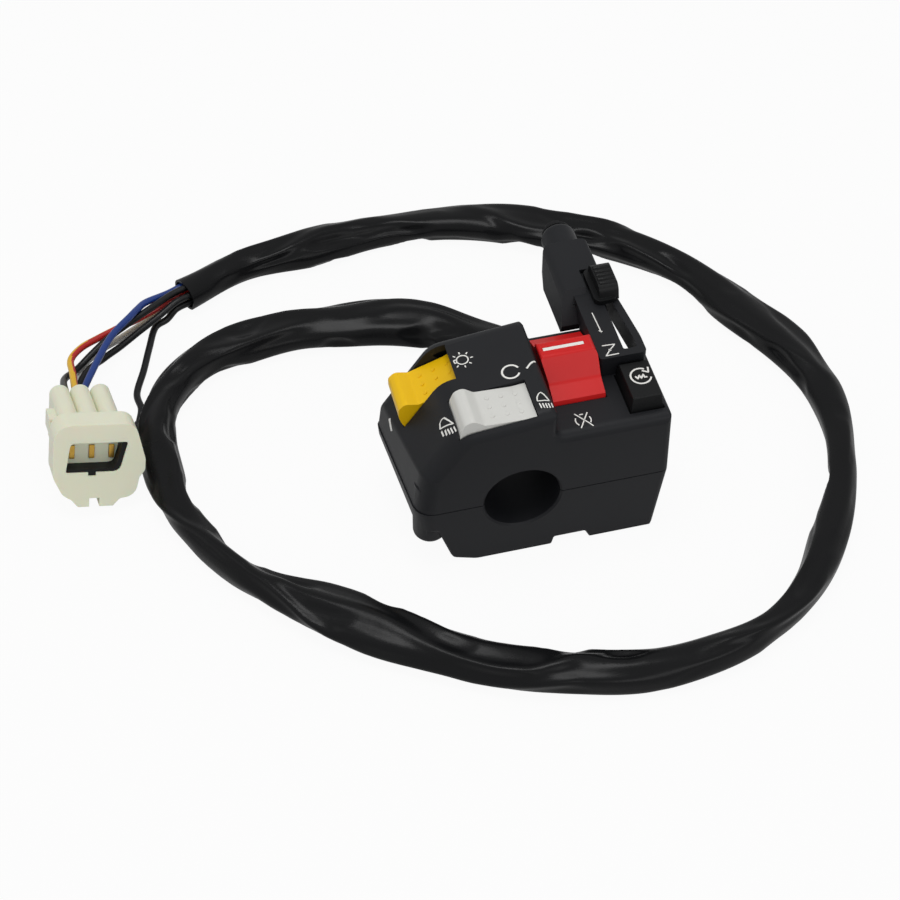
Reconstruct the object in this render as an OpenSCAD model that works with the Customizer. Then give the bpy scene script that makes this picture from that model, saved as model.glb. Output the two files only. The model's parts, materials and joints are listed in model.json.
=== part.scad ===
// Handlebar switch cluster: a clamshell housing that grips the handlebar, two lighting rockers, an
// engine stop rocker, a start button, a sliding choke control and a sleeved harness with its connector.
// Millimetres. The origin is the centre of the handlebar bore at the middle of the housing.
// X runs across the housing, Y along the handlebar away from the rider, Z up.

/* [Handlebar clamp] */
// Diameter of the handlebar that the housing grips
bar_d = 22.2; // [21.8:0.1:22.6]
// Radial clearance between the bar and the bore
bar_fit = 0.05; // [0.02:0.01:0.1]
// Gap between the two housing halves when clamped
parting_gap = 0.3; // [0.2:0.1:0.6]

/* [Housing] */
// Length of the housing along the handlebar
body_len = 40; // [39:0.5:44]
// Reach of the housing to the left of the bore centre
body_left = 33.9; // [33.5:0.1:36]
// Reach of the housing to the right of the bore centre
body_right = 43.4; // [43:0.2:46]
// How much further in the left wall stands at the front than at the back
left_taper = 3.2; // [2:0.1:3.4]
// Wall thickness of both halves
wall = 2.5; // [2.2:0.1:2.8]
// Height of the deck that carries the stop rocker and the start button
deck_z = 23; // [22.5:0.5:25]
// Height of the raised lighting panel at its right edge
panel_z = 33; // [32.5:0.5:35]
// Depth of the feet below the bore centre
foot_z = 23.5; // [22.5:0.5:26]
// Rounding of the deck's front edge
deck_edge_r = 3; // [2:0.1:3.2]
// Rounding of the lighting panel's front edge
panel_edge_r = 4; // [3:0.5:4.5]
// Rounding of the front left corner and the panel's back edge
corner_r = 5; // [4:0.5:5]

/* [Rockers] */
// Width of the two lighting rockers along the handlebar
rocker_w = 13; // [12:0.5:13.5]
// Length of the two lighting rockers
rocker_len = 21.6; // [20.6:0.2:22]
// Height of the thumb ridge above the lighting panel
rocker_ridge = 4.8; // [4:0.2:5.4]
// Width of the stop rocker across the housing
stop_w = 15.2; // [14.6:0.1:15.4]
// Length of the stop rocker along the handlebar
stop_len = 25.6; // [24:0.2:26]
// Depth of the rocker pivots below the surface around them
pivot_depth = 3; // [2.8:0.1:3.2]
// Diameter of the steel rocker pins
pin_d = 2.5; // [2:0.1:3]
// Gap around each rocker in its window
rocker_gap = 0.35; // [0.25:0.05:0.45]

/* [Start button] */
// Width of the start button across the housing
start_w = 9.7; // [9:0.1:10]
// Length of the start button along the handlebar
start_len = 14.9; // [14:0.1:15.2]
// Height of the start button above the deck
start_h = 5; // [3.5:0.5:6]
// Travel of the start button
start_travel = 2.5; // [1.5:0.5:2.5]

/* [Choke control] */
// Height of the choke housing above the deck
choke_h = 7; // [6.5:0.1:7.5]
// Travel of the choke knob towards the rider
choke_travel = 15; // [10:1:15]
// Diameter of the cable that the outlet takes
cable_d = 5; // [4:0.1:5.4]

/* [Fasteners] */
// Diameter of the two screws that clamp the halves
clamp_screw_d = 5; // [4:0.5:5]
// Diameter of the two screws that hold the choke housing
choke_screw_d = 3; // [2.5:0.1:3.2]

/* [Harness] */
// Diameter of the harness sleeve
sleeve_d = 11; // [10:0.2:11]
// Diameter of one wire
wire_d = 2.2; // [1.8:0.1:2.2]

/* [Connector] */
// Width of the connector shroud
shroud_w = 27; // [26:0.5:28]
// Height of the connector shroud
shroud_h = 26.5; // [26:0.5:28]
// Length of the connector shroud
shroud_len = 9; // [8:0.5:12]
// Length of the connector's wire end
wire_end_len = 22; // [20:0.5:24]

/* [Hidden] */
$fn = 64;

// Colours as the object shows them
black_shell = "#2b2c30";
black_button = "#1d1e21";
signal_yellow = "#f2c319";
pale_grey = "#d8d8d4";
stop_red = "#cd2d2d";
steel = "#b9bcc0";
brass = "#c9a24a";
board_brown = "#7a5230";
sleeve_black = "#17181a";
nylon_ivory = "#dfe0d0";

// Overlap that a cut takes beyond the face it opens
cut = 1;
// Clearance of a pin in the walls that hold it, and in the rocker that turns on it
pin_hold = 0.02;
pin_run = 0.06;
// Clearance of a fixed piece in its groove, of a screw in its thread and of a screw in its hole
seat_gap = 0.1;
thread_gap = 0.03;
hole_gap = 0.3;
// Space left beyond a screw's tip
tip_air = 0.3;

bore_r = bar_d / 2 + bar_fit;
bore_wall_r = bore_r + wall;
bore_chamfer = 0.6;
front_y = -body_len / 2;
back_y = body_len / 2;
parting = parting_gap / 2;

// Points of an arc of radius r that rounds the corner b between a and c, or b itself where r is 0
function unit(v) = v / norm(v);
function corner_arc(a, b, c, r, steps) =
    r == 0 ? [b] :
    let (u = unit(a - b), v = unit(c - b), half = acos(u * v) / 2)
    let (centre = b + unit(u + v) * r / sin(half), start = b + u * r / tan(half) - centre)
    let (finish = b + v * r / tan(half) - centre)
    let (from = atan2(start[1], start[0]), turn = atan2(finish[1], finish[0]) - from)
    let (sweep = turn > 180 ? turn - 360 : turn < -180 ? turn + 360 : turn)
    [for (k = [0 : steps]) centre + r * [cos(from + sweep * k / steps), sin(from + sweep * k / steps)]];

// Outline with each corner rounded: corners are [point, radius]
function rounded(corners, steps = 4) =
    let (n = len(corners))
    [for (i = [0 : n - 1], p = corner_arc(corners[(i + n - 1) % n][0], corners[i][0],
        corners[(i + 1) % n][0], corners[i][1], steps)) p];

// Corners of an anticlockwise outline with each side drawn in by its own depth; side i leaves corner i
least_r = 0.1;
function drawn_in(corners, depths) =
    let (n = len(corners))
    [for (i = [0 : n - 1])
        let (a = corners[(i + n - 1) % n][0], b = corners[i][0], c = corners[(i + 1) % n][0])
        let (r = corners[i][1])
        let (u = unit(b - a), v = unit(c - b), turn = u[0] * v[1] - u[1] * v[0])
        let (before = depths[(i + n - 1) % n], after = depths[i], depth = max(before, after))
        [b + (before * v - after * u) / turn,
            r == 0 ? 0 : turn > 0 ? max(r - depth, least_r) : r + depth]];
// The same depth on every side but the last, which lies on the parting plane
function all_sides(taper, depth, last) =
    [for (i = [1 : len(taper)]) i == len(taper) ? last : depth + taper[i - 1]];

// Housing outlines across the handlebar
panel_right = 9.4;
panel_corner_r = 5;
ledge = 0.35;
shoulder = [-body_left + 15.4, panel_z - 3.2];
upper_corners = [[[body_right, parting], 0], [[body_right - 0.4, deck_z], 1.2],
    [[panel_right, deck_z], 1.5], [[panel_right + 0.2, panel_z], 2.2], [shoulder, 8],
    [[-body_left + 1.4, 9], 6], [[-body_left + ledge, parting], 0]];
notch_z = -foot_z + 3;
lower_corners = [[[-body_left, -parting], 0], [[-body_left + 0.5, -6], 4], [[-body_left + 9.2, -8], 1],
    [[-body_left + 13.5, -foot_z + 2.5], 2.5], [[-body_left + 20.4, -foot_z], 6], [[9.3, -foot_z], 0.6],
    [[10, notch_z], 0.6], [[19.5, notch_z], 0.6], [[21, -foot_z], 0.6], [[body_right - 3.1, -foot_z], 1.2],
    [[body_right, -parting], 0]];

// Edge radii of each side of the two outlines at the front and at the back
upper_front_r = [2, deck_edge_r, 2, panel_edge_r, corner_r, corner_r, 0];
upper_back_r = [2, 1.5, 3, corner_r, corner_r, 3, 0];
lower_front_r = [corner_r, 1, 1, 1, 0.8, 0.5, 0.8, 0.5, 0.8, 2, 0];
lower_back_r = [3, 1, 1, 1, 0.8, 0.5, 0.8, 0.5, 0.8, 2, 0];
edge_stations = [0, 0.4, 1, 1.8, 3, 5];
// Sliver taken off each end, so that each end face is one plane
end_trim = 0.02;
// Share of the left wall's taper that each side takes, so that the left wall stands further in at the front
upper_taper = [0, 0, 0, 0, 0, left_taper, 0];
lower_taper = [left_taper, 0, 0, 0, 0, 0, 0, 0, 0, 0, 0];
// How far an edge of radius r draws a side in at a distance from the end face
function edge_depth(r, t) = t >= r ? 0 : r - sqrt(r * r - (r - t) * (r - t));
function end_ring(corners, radii, taper, t, y, steps) =
    let (share = (back_y - y) / body_len)
    let (depths = [for (i = [0 : len(radii) - 1]) edge_depth(radii[i], t) + taper[i] * share])
    [for (p = rounded(drawn_in(corners, depths), steps)) [p[0], y, p[1]]];
module shell_solid(corners, front_r, back_r, taper, steps) {
    last = len(edge_stations) - 1;
    front_rings = [for (t = edge_stations) end_ring(corners, front_r, taper, t, front_y + t, steps)];
    back_rings = [for (k = [0 : last])
        let (t = edge_stations[last - k]) end_ring(corners, back_r, taper, t, back_y - t, steps)];
    rings = concat(front_rings, back_rings);
    n = len(rings[0]);
    sides = [for (k = [0 : len(rings) - 2], i = [0 : n - 1])
        let (a = k * n + i, b = k * n + (i + 1) % n) [a, b, b + n, a + n]];
    ends = [[for (i = [0 : n - 1]) n - 1 - i], [for (i = [0 : n - 1]) (len(rings) - 1) * n + i]];
    intersection() {
        polyhedron([for (ring = rings, p = ring) p], concat(sides, ends));
        block([-2 * body_right, front_y + end_trim, -2 * body_right],
            [2 * body_right, back_y - end_trim, 2 * body_right]);
    }
}

// A profile in X and Z drawn along Y from y0 to y1
module along_y(y0, y1) {
    translate([0, y1, 0]) rotate([90, 0, 0]) linear_extrude(y1 - y0) children();
}
// A profile in Y and Z drawn along X from x0 to x1
module along_x(x0, x1) {
    translate([x0, 0, 0]) rotate([90, 0, 90]) linear_extrude(x1 - x0) children();
}
module block(low, high) {
    translate(low) cube(high - low);
}
module rod_y(x, z, r, y0, y1) {
    translate([x, y1, z]) rotate([90, 0, 0]) cylinder(r = r, h = y1 - y0);
}
module rod_x(y, z, r, x0, x1) {
    translate([x0, y, z]) rotate([0, 90, 0]) cylinder(r = r, h = x1 - x0);
}

// Lighting rockers: pivots and the slope of the panel at each one
pin_r = pin_d / 2;
light_slope = 45;
dimmer_slope = 4;
light_pivot = [shoulder[0] - 0.9, shoulder[1] - 9.7];
dimmer_pivot = [-6.7, panel_z - 5.6];
light_y = back_y - 4.5 - rocker_w / 2;
dimmer_y = front_y + 2 + rocker_w / 2;
rocker_r = norm([rocker_len / 2, pivot_depth]);
rocker_swing = 18;
// Hub, foot and contact bar under each rocker, measured from its pivot
hub_r = pin_r + 1.75;
foot_half = 3.6;
foot_depth = hub_r + 2;
bar_t = 0.8;
bar_half = 4.5;
bar_w = 6;
bar_ease = 0.5;
board_t = 1.6;
rivet_r = 1.2;
rivet_proud = 0.25;
contact_air = 0.12;
function bar_dip(half, swing) = half * sin(swing) + (foot_depth + bar_t) * cos(swing);
rocker_board = bar_dip(bar_half, rocker_swing / 2) + contact_air + rivet_proud;
ear_t = 2.5;
ear_half = 6;
groove = 1;

// Places a lighting rocker's own frame: x along the panel, z out of it, the pivot at the origin
module at_light() {
    translate([light_pivot[0], light_y, light_pivot[1]]) rotate([0, -light_slope, 0]) children();
}
module at_dimmer() {
    translate([dimmer_pivot[0], dimmer_y, dimmer_pivot[1]]) rotate([0, -dimmer_slope, 0]) children();
}

// Stop rocker, turning about X
stop_x0 = panel_right + 2.2;
stop_x1 = stop_x0 + stop_w;
stop_mid = (stop_x0 + stop_x1) / 2;
stop_y = back_y - 2.5 - stop_len / 2;
stop_z = deck_z - pivot_depth;
stop_r = norm([stop_len / 2, pivot_depth]);
stop_swing = 12;
stop_bar_half = 5;
stop_board = bar_dip(stop_bar_half, stop_swing) + contact_air + rivet_proud;
stop_cheek_half = 6.5;

// Start button, sliding down
start_x = body_right - 2 - start_w / 2;
start_y = front_y + 4 + start_len / 2;
start_gap = 0.3;
start_taper = 0.6;
start_depth = 8;
start_flange = 0.8;
start_flange_t = 2;
start_disc_t = 1;
start_bottom = deck_z - start_depth;
start_board_z = start_bottom - start_disc_t - start_travel - contact_air - rivet_proud;
start_board_x0 = stop_x1 + rocker_gap + ear_t - groove + seat_gap;
start_board_x1 = body_right - wall + groove - 0.6;
start_board_half = 6.5;
start_rivet = 4.8;

// Choke housing on the deck behind the start button
choke_x1 = body_right - 2.4;
choke_x0 = stop_x1 + 0.4;
choke_y0 = start_y + start_len / 2 + 0.6;
choke_top = deck_z + choke_h;
choke_skin = 2.2;
choke_block_y = choke_y0 + 5.5;
choke_block_z = choke_top - 3.5;
rail_t = 2.2;
slot_x0 = choke_x1 - 6.2;
slot_y0 = choke_y0 + 2.5;
tray_len = 35;
tray_back = choke_y0 + tray_len;
tray_bend = 6.5;
tray_narrow = 2.2;
box_y0 = back_y + 0.4;
box_y1 = tray_back + 13;
box_x0 = choke_x0 - 5.3;
box_x1 = choke_x1 - 3.8;
box_top = choke_top + 1.5;
box_bottom = deck_z - 1;
box_front = tray_back - 7;
box_r = 3;
knob_space_x = choke_x0 + 4;
barrel_x = choke_x0 + 3.7;
barrel_z = deck_z + 3.2;
barrel_r = 5.2;
barrel_len = 9;
barrel_round = 2;
ferrule_r = cable_d / 2 + 0.6;
ferrule_len = 12;
ferrule_nose = 3;
ferrule_lip = 1.2;

// Choke slider under the tray's top, knob above it
slide_gap = 0.3;
slider_t = 2.3;
slider_top = choke_top - choke_skin - slide_gap;
slider_x0 = choke_x0 + choke_skin + 1;
slider_x1 = choke_x1 - tray_narrow - rail_t - 0.6;
knob_len = 14;
knob_y = choke_y0 + 27.7;
knob_x0 = choke_x0 + 4.8;
knob_x1 = choke_x1 - 1.7;
knob_z0 = choke_top + slide_gap;
knob_base = 1.5;
knob_h = 5;
knob_ribs = 5;
rib_pitch = 1.6;
stem_x0 = slot_x0 + slide_gap;
stem_x1 = slot_x0 + 1.5;
stem_half = 4;
stem_top = knob_z0 + 3;
slider_y0 = choke_block_y + choke_travel + 2 * slide_gap;
slider_y1 = box_y1 - 4;
base_top = slider_top - slider_t - 0.8;
base_t = base_top - box_bottom;
spring_leaf = 0.4;

// The back right corner of both halves is cut away under the choke slot
notch_x = stop_x1 + rocker_gap + ear_t + 0.4;
notch_y = choke_block_y + 3;

// Clamp screws
clamp_r = clamp_screw_d / 2;
clamp_head_r = clamp_r + 1.4;
clamp_head_h = 3;
left_screw = [-body_left + 8, front_y + 5.5];
right_screw = [21, front_y + 12];
left_seat = -8;
right_seat = -12;
left_tip = 7;
right_tip = 10;
boss_r = clamp_r + 1.7;
// Round lug that hangs below the front left corner for the left screw
lug_z = -13.4;
lug_r = 4.9;
lug_round = 2;

// Choke mounting screws, driven up from inside the deck
choke_screw_r = choke_screw_d / 2;
choke_screw_head_r = choke_screw_r + 0.7;
choke_screw_head_h = 1.8;
choke_screw_y = choke_y0 + 3.1;
choke_screws_x = [choke_x0 + 5.6, choke_x0 + 10.6];
choke_screw_tip = choke_block_z - 0.8;
base_screw_r = 1.2;
base_screw_head_r = 2.1;
base_screw_head_h = 1.2;
base_screw_bite = 3.5;
base_screws_x = box_x0 + choke_skin + base_screw_head_r + 1;
base_screws_y = [box_y0 + 5, box_y1 - 5];

// Harness exit in the back of the lower half
exit_x = 19.2;
exit_z = -10.2;
exit_r = sleeve_d / 2 + 0.5;
grommet_lip = 1.5;
grommet_lip_r = exit_r + 1.6;
grommet_tail = 8;
sleeve_y0 = back_y + grommet_lip + grommet_tail;

// Harness route from the grommet to the sleeve's far end, lying on the floor
sleeve_z = -foot_z + 6;
sleeve_route = [[exit_x, sleeve_y0 + seat_gap, exit_z], [exit_x, sleeve_y0 + 5, exit_z], [19, 43, -12],
    [17, 51, -15], [12, 58, -17],
    [4, 65, sleeve_z], [-7, 72, sleeve_z], [-19, 77, sleeve_z], [-32, 79, sleeve_z],
    [-47, 80, sleeve_z], [-62, 79, sleeve_z], [-75.5, 75, sleeve_z], [-86, 67, sleeve_z],
    [-93, 56.5, sleeve_z], [-96, 44, sleeve_z], [-96, 30, sleeve_z], [-94, 14, sleeve_z],
    [-87, -2, sleeve_z], [-76.5, -17.5, sleeve_z], [-60.5, -31, sleeve_z], [-43, -45, sleeve_z],
    [-23, -58, sleeve_z], [-2, -67, sleeve_z], [20, -72.5, sleeve_z], [41, -72, sleeve_z],
    [59.5, -67, sleeve_z], [75.5, -55.5, sleeve_z], [87.5, -40, sleeve_z], [98, -22.5, sleeve_z],
    [104.5, -3, sleeve_z], [106, 16, sleeve_z], [102, 36, sleeve_z], [92, 56.5, sleeve_z],
    [80, 78, sleeve_z], [61, 96, sleeve_z], [38, 108, sleeve_z], [14, 117, sleeve_z],
    [-10, 119, sleeve_z], [-34, 117, sleeve_z], [-57.5, 113, sleeve_z], [-78, 104, sleeve_z]];

// Connector lying on its two short legs, face up because its wire end is lower, and leaning to its right
connector_turn = 4.5;
connector_tilt = 20;
connector_roll = 13;
leg_h = 2.4;
legs_u = [-5.9, 4.4];
connector_rise = legs_u[1] * sin(connector_roll) * cos(connector_tilt);
connector_at = [-117.9, 32, -foot_z + connector_rise + 0.05];
wire_end_w = 18.2;
wire_end_u = -1.4;
wire_end_drop = 2;
wire_end_low = wire_end_len * sin(connector_tilt)
    + (wire_end_u + wire_end_w / 2) * sin(connector_roll) * cos(connector_tilt);
wire_end_z0 = (wire_end_low - connector_rise) / cos(connector_tilt) / cos(connector_roll) + 0.1;
wire_end_z1 = shroud_h - wire_end_drop;
lobes = 3;
lobe_r = wire_end_w / lobes / 2;
lobe_rise = 1;
socket_depth = 5.2;
socket_back = -shroud_len + socket_depth;
socket_z1 = shroud_h - 5.7;
socket_z0 = socket_z1 - 9.6;
socket_floor_u = [-9.8, 6];
socket_roof_u = [-8.6, 8.2];
blade_pitch = 5.8;
blade_u = -1.6;
blade_w = 4.2;
blade_t = 1.6;
blade_z = socket_z0 + 2.4;
blade_out = 0.6;
blade_in = 6;
keeper_t = 0.8;
keeper_side = 1.2;
keeper_tab = [-3.2, -1];
keeper_tab_h = 1.1;
keeper_front = 0.4;
latch_t = 2.4;
keyway_u = [-2.6, 0.4];
keyway_h = leg_h + 0.4;

// Insulated bullet terminal at the end of the ground wire
bullet_r = 2.2;
bullet_len = 11;
bullet_lip = 0.1;
bullet_tip = [-103.3, 44.6, -foot_z + bullet_r + bullet_lip];
bullet_turn = 15;

// Wires leave the sleeve's end square, s back and z up from its centre, and enter the connector square
sleeve_end = sleeve_route[len(sleeve_route) - 1];
sleeve_out = unit(sleeve_end - sleeve_route[len(sleeve_route) - 2]);
sleeve_back = cross(sleeve_out, [0, 0, 1]);
function sleeve_slot(s, z) =
    [for (out = [seat_gap, 5]) sleeve_end + s * sleeve_back + [0, 0, z] + out * sleeve_out];
function turned_x(p, a) = [p[0], p[1] * cos(a) - p[2] * sin(a), p[1] * sin(a) + p[2] * cos(a)];
function turned_z(p, a) = [p[0] * cos(a) - p[1] * sin(a), p[0] * sin(a) + p[1] * cos(a), p[2]];
function turned_y(p, a) = [p[0] * cos(a) + p[2] * sin(a), p[1], p[2] * cos(a) - p[0] * sin(a)];
function from_connector(p) =
    connector_at + turned_z(turned_x(turned_y(p, connector_roll), -connector_tilt), connector_turn);
function connector_slot(u, w) =
    [for (out = [4, seat_gap]) from_connector([wire_end_u + u, wire_end_len + out, w])];
wire_ring = 2.9;
ring_s = wire_ring * cos(30);
ring_z = wire_ring * sin(30);
cavities_u = [-3.6, -0.6, 1.7, 3.6];
cavity_low = wire_end_z0 + 2.6;
cavity_high = wire_end_z1 - 3.2;
blue_route = concat(sleeve_slot(ring_s, ring_z), [[-90.7, 100.2, -14.5], [-94, 96.2, -13.1],
    [-96.9, 92.3, -12.1], [-103, 86, -12], [-107.8, 78.6, -12.2]],
    connector_slot(cavities_u[2], cavity_high));
yellow_route = concat(sleeve_slot(0, 0), [[-88.5, 99.8, -18.2], [-94.5, 97.6, -18.8], [-100.8, 94, -17.6],
    [-107.9, 90.3, -17], [-113.5, 86.8, -16.4], [-117.2, 81.6, -15.6], [-117.4, 74, -13.8]],
    connector_slot(cavities_u[1], cavity_high));
white_route = concat(sleeve_slot(0, -wire_ring), [[-88.4, 100.9, -21.4], [-93.8, 98.2, -22.3],
    [-101.6, 93.6, -22.3], [-108.6, 89.6, -22.3], [-114.6, 83.6, -22.3], [-116, 76, -22.3]],
    connector_slot(cavities_u[3], cavity_low));
left_black_route = concat(sleeve_slot(0, wire_ring), [[-89.6, 97.6, -14.9], [-96.8, 93.5, -15.4],
    [-103.9, 89.5, -16.4], [-110.5, 85.4, -18.4], [-116, 81, -19.6], [-120.3, 74.5, -16.5]],
    connector_slot(cavities_u[0], cavity_high));
right_black_route = concat(sleeve_slot(-ring_s, ring_z), [[-88, 96.4, -18.2], [-94.7, 92.4, -19.2],
    [-101.7, 87.8, -20], [-107, 84.4, -20.2], [-114, 78, -19.7]], connector_slot(cavities_u[0], cavity_low));
bullet_out = [sin(bullet_turn), cos(bullet_turn), 0];
ground_route = concat(sleeve_slot(-ring_s, -ring_z), [[-85, 98.2, -21.6], [-89.2, 96, -22.2],
    [-92.4, 87.7, -22.3], [-95.6, 78.3, -22.3], [-99.2, 68.7, -22.3]],
    [for (out = [6, seat_gap]) bullet_tip + (bullet_len + out) * bullet_out]);

// Rings swept along a route, closed at both ends
function along(p, i) =
    i == 0 ? unit(p[1] - p[0]) : i == len(p) - 1 ? unit(p[i] - p[i - 1]) : unit(p[i + 1] - p[i - 1]);
function across(d) = unit(cross(d, [0, 0, 1]));
function ring_at(p, i, r, sides) =
    let (d = along(p, i), a = across(d), b = cross(a, d))
    [for (k = [0 : sides - 1]) p[i] + r * (cos(360 * k / sides) * a + sin(360 * k / sides) * b)];
module tube(route, d, sides) {
    n = len(route);
    rings = [for (i = [0 : n - 1], p = ring_at(route, i, d / 2, sides)) p];
    walls = [for (i = [0 : n - 2], k = [0 : sides - 1], half = [0, 1])
        let (a = i * sides + k, b = i * sides + (k + 1) % sides)
        half == 0 ? [a, b + sides, b] : [a, a + sides, b + sides]];
    caps = [for (k = [1 : sides - 2], end = [0, 1])
        end == 0 ? [0, k, k + 1] : [(n - 1) * sides, (n - 1) * sides + k + 1, (n - 1) * sides + k]];
    polyhedron(rings, concat(walls, caps));
}

// Bore for the handlebar, eased at both ends
module bar_bore() rotate([-90, 0, 0]) rotate_extrude() {
    mouth_r = bore_r + bore_chamfer + cut;
    polygon([[0, front_y - cut], [mouth_r, front_y - cut], [bore_r, front_y + bore_chamfer],
        [bore_r, back_y - bore_chamfer], [mouth_r, back_y + cut], [0, back_y + cut]]);
}
// Hollow of one half: the outline drawn in by the wall, left solid around the bore
module half_hollow(corners, taper) {
    difference() {
        along_y(front_y + wall, back_y - wall)
            polygon(rounded(drawn_in(corners, all_sides(taper, wall, -cut))));
        rod_y(0, 0, bore_wall_r, front_y, back_y);
    }
}
// Everything inside the middle of the walls, which trims the ribs and bosses that join them
module inside_walls(corners, taper) {
    along_y(front_y + wall / 2, back_y - wall / 2)
        polygon(rounded(drawn_in(corners, all_sides(taper, wall / 2, 0))));
}
// The corner that both halves leave open under the choke slot
module corner_notch(z0, z1) {
    block([notch_x, notch_y, z0], [body_right + cut, back_y + cut, z1]);
}
module corner_walls(z0, z1) {
    block([notch_x - wall, notch_y - wall, z0], [notch_x, back_y - wall / 2, z1]);
    block([notch_x - wall, notch_y - wall, z0], [body_right - wall / 2, notch_y, z1]);
}

// Space that a lighting rocker sweeps, in its own frame
module rocker_pocket() {
    w = rocker_w / 2 + rocker_gap;
    intersection() {
        rod_y(0, 0, rocker_r + rocker_gap, -w, w);
        block([-rocker_r - cut, -w - cut, -pivot_depth - 1.5], [rocker_r + cut, w + cut, rocker_r + cut]);
    }
}
// Ears that carry a rocker pin and the board below it, in the rocker's own frame
module rocker_ear(side, rise) {
    y0 = side * (rocker_w / 2 + rocker_gap + ear_t / 2) - ear_t / 2;
    block([-ear_half, y0, -rocker_board - board_t - 1], [ear_half, y0 + ear_t, rise]);
}
module board_space(half, y0, y1, depth) {
    block([-half, y0, -depth - board_t - seat_gap], [half, y1, -depth + seat_gap]);
}
board_half = 5.4;
board_end = rocker_w / 2 + rocker_gap + groove;
module rocker_fittings() {
    rocker_pocket();
    rod_y(0, 0, pin_r + pin_hold, -rocker_w / 2 - rocker_gap - groove, rocker_w / 2 + rocker_gap + groove);
    board_space(board_half + seat_gap, -board_end, board_end, rocker_board);
}

// Walls beside the stop rocker that carry its pin and board
module stop_cheek(x0) {
    block([x0, stop_y - stop_cheek_half, stop_z - stop_board - board_t - 1],
        [x0 + ear_t, stop_y + stop_cheek_half, deck_z - wall / 2]);
}
module stop_pocket() {
    intersection() {
        rod_x(stop_y, stop_z, stop_r + rocker_gap, stop_x0 - rocker_gap, stop_x1 + rocker_gap);
        block([stop_x0 - cut, stop_y - stop_r - cut, stop_z - pivot_depth - 0.5],
            [stop_x1 + cut, stop_y + stop_r + cut, panel_z + cut]);
    }
}
module stop_fittings() {
    stop_pocket();
    rod_x(stop_y, stop_z, pin_r + pin_hold, stop_x0 - rocker_gap - groove, stop_x1 + rocker_gap + groove);
    board_z = stop_z - stop_board;
    block([stop_x0 - rocker_gap - groove, stop_y - stop_cheek_half + 1, board_z - board_t - seat_gap],
        [stop_x1 + rocker_gap + groove, stop_y + stop_cheek_half - 1, board_z + seat_gap]);
}
// Partition that carries the start button's board, and the board's grooves
module start_partition() {
    block([stop_x1 + rocker_gap, start_y - start_board_half - 1, start_board_z - board_t - 1],
        [stop_x1 + rocker_gap + ear_t, stop_y, start_board_z + 2]);
}
module start_fittings() {
    w = start_w / 2 + start_gap;
    l = start_len / 2 + start_gap;
    block([start_x - w, start_y - l, start_bottom - start_travel], [start_x + w, start_y + l, deck_z + cut]);
    board_l = start_board_half + seat_gap;
    block([start_board_x0 - seat_gap, start_y - board_l, start_board_z - board_t - seat_gap],
        [start_board_x1 + seat_gap, start_y + board_l, start_board_z + seat_gap]);
}

// What the rounded back right corner of the panel leaves out, seen from above.
module panel_corner()
    translate([panel_right - panel_corner_r, back_y - panel_corner_r, deck_z]) difference() {
        cube([panel_corner_r + 3, panel_corner_r + 1, panel_z]);
        translate([0, 0, -cut]) cylinder(r = panel_corner_r + 0.3, h = panel_z + 2 * cut);
    }

module upper_housing() color(black_shell) difference() {
    union() {
        difference() {
            shell_solid(upper_corners, upper_front_r, upper_back_r, upper_taper, 4);
            corner_notch(-cut, deck_z + cut);
            panel_corner();
            half_hollow(upper_corners, upper_taper);
        }
        intersection() {
            inside_walls(upper_corners, upper_taper);
            union() {
                at_light() rocker_ear(-1, pivot_depth + 1);
                at_light() rocker_ear(1, pivot_depth + 1);
                at_dimmer() rocker_ear(1, pivot_depth);
                stop_cheek(stop_x0 - rocker_gap - ear_t);
                stop_cheek(stop_x1 + rocker_gap);
                start_partition();
                corner_walls(parting, deck_z - wall / 2);
            }
        }
        translate([left_screw[0], left_screw[1], parting]) cylinder(r = boss_r, h = left_tip + 1);
        translate([right_screw[0], right_screw[1], parting]) cylinder(r = boss_r, h = right_tip + 1);
        block([right_screw[0] - 1, front_y + wall / 2, parting],
            [right_screw[0] + 1, right_screw[1], right_tip]);
    }
    bar_bore();
    at_light() rocker_fittings();
    at_dimmer() rocker_fittings();
    stop_fittings();
    start_fittings();
    translate([left_screw[0], left_screw[1], 0])
        cylinder(r = clamp_r + thread_gap, h = left_tip + tip_air);
    translate([right_screw[0], right_screw[1], 0])
        cylinder(r = clamp_r + thread_gap, h = right_tip + tip_air);
    for (x = choke_screws_x)
        translate([x, choke_screw_y, deck_z - wall - cut])
            cylinder(r = choke_screw_r + hole_gap, h = wall + 2 * cut);
}

module lower_housing() color(black_shell) difference() {
    union() {
        difference() {
            shell_solid(lower_corners, lower_front_r, lower_back_r, lower_taper, 3);
            corner_notch(-foot_z - cut, cut);
            half_hollow(lower_corners, lower_taper);
        }
        intersection() {
            inside_walls(lower_corners, lower_taper);
            union() {
                corner_walls(-foot_z, -parting);
                translate([right_screw[0], right_screw[1], -foot_z])
                    cylinder(r = clamp_head_r + 2, h = foot_z - parting);
            }
        }
        translate([left_screw[0], left_screw[1], 0]) rotate_extrude()
            polygon(rounded([[[0, lug_z], 0], [[lug_r, lug_z], lug_round], [[lug_r, -parting], 0],
                [[0, -parting], 0]]));
    }
    bar_bore();
    translate([left_screw[0], left_screw[1], left_seat]) screw_hole(-left_seat);
    translate([right_screw[0], right_screw[1], right_seat]) screw_hole(-right_seat);
    rod_y(exit_x, exit_z, exit_r, back_y - wall - cut, back_y + cut);
}

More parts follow.
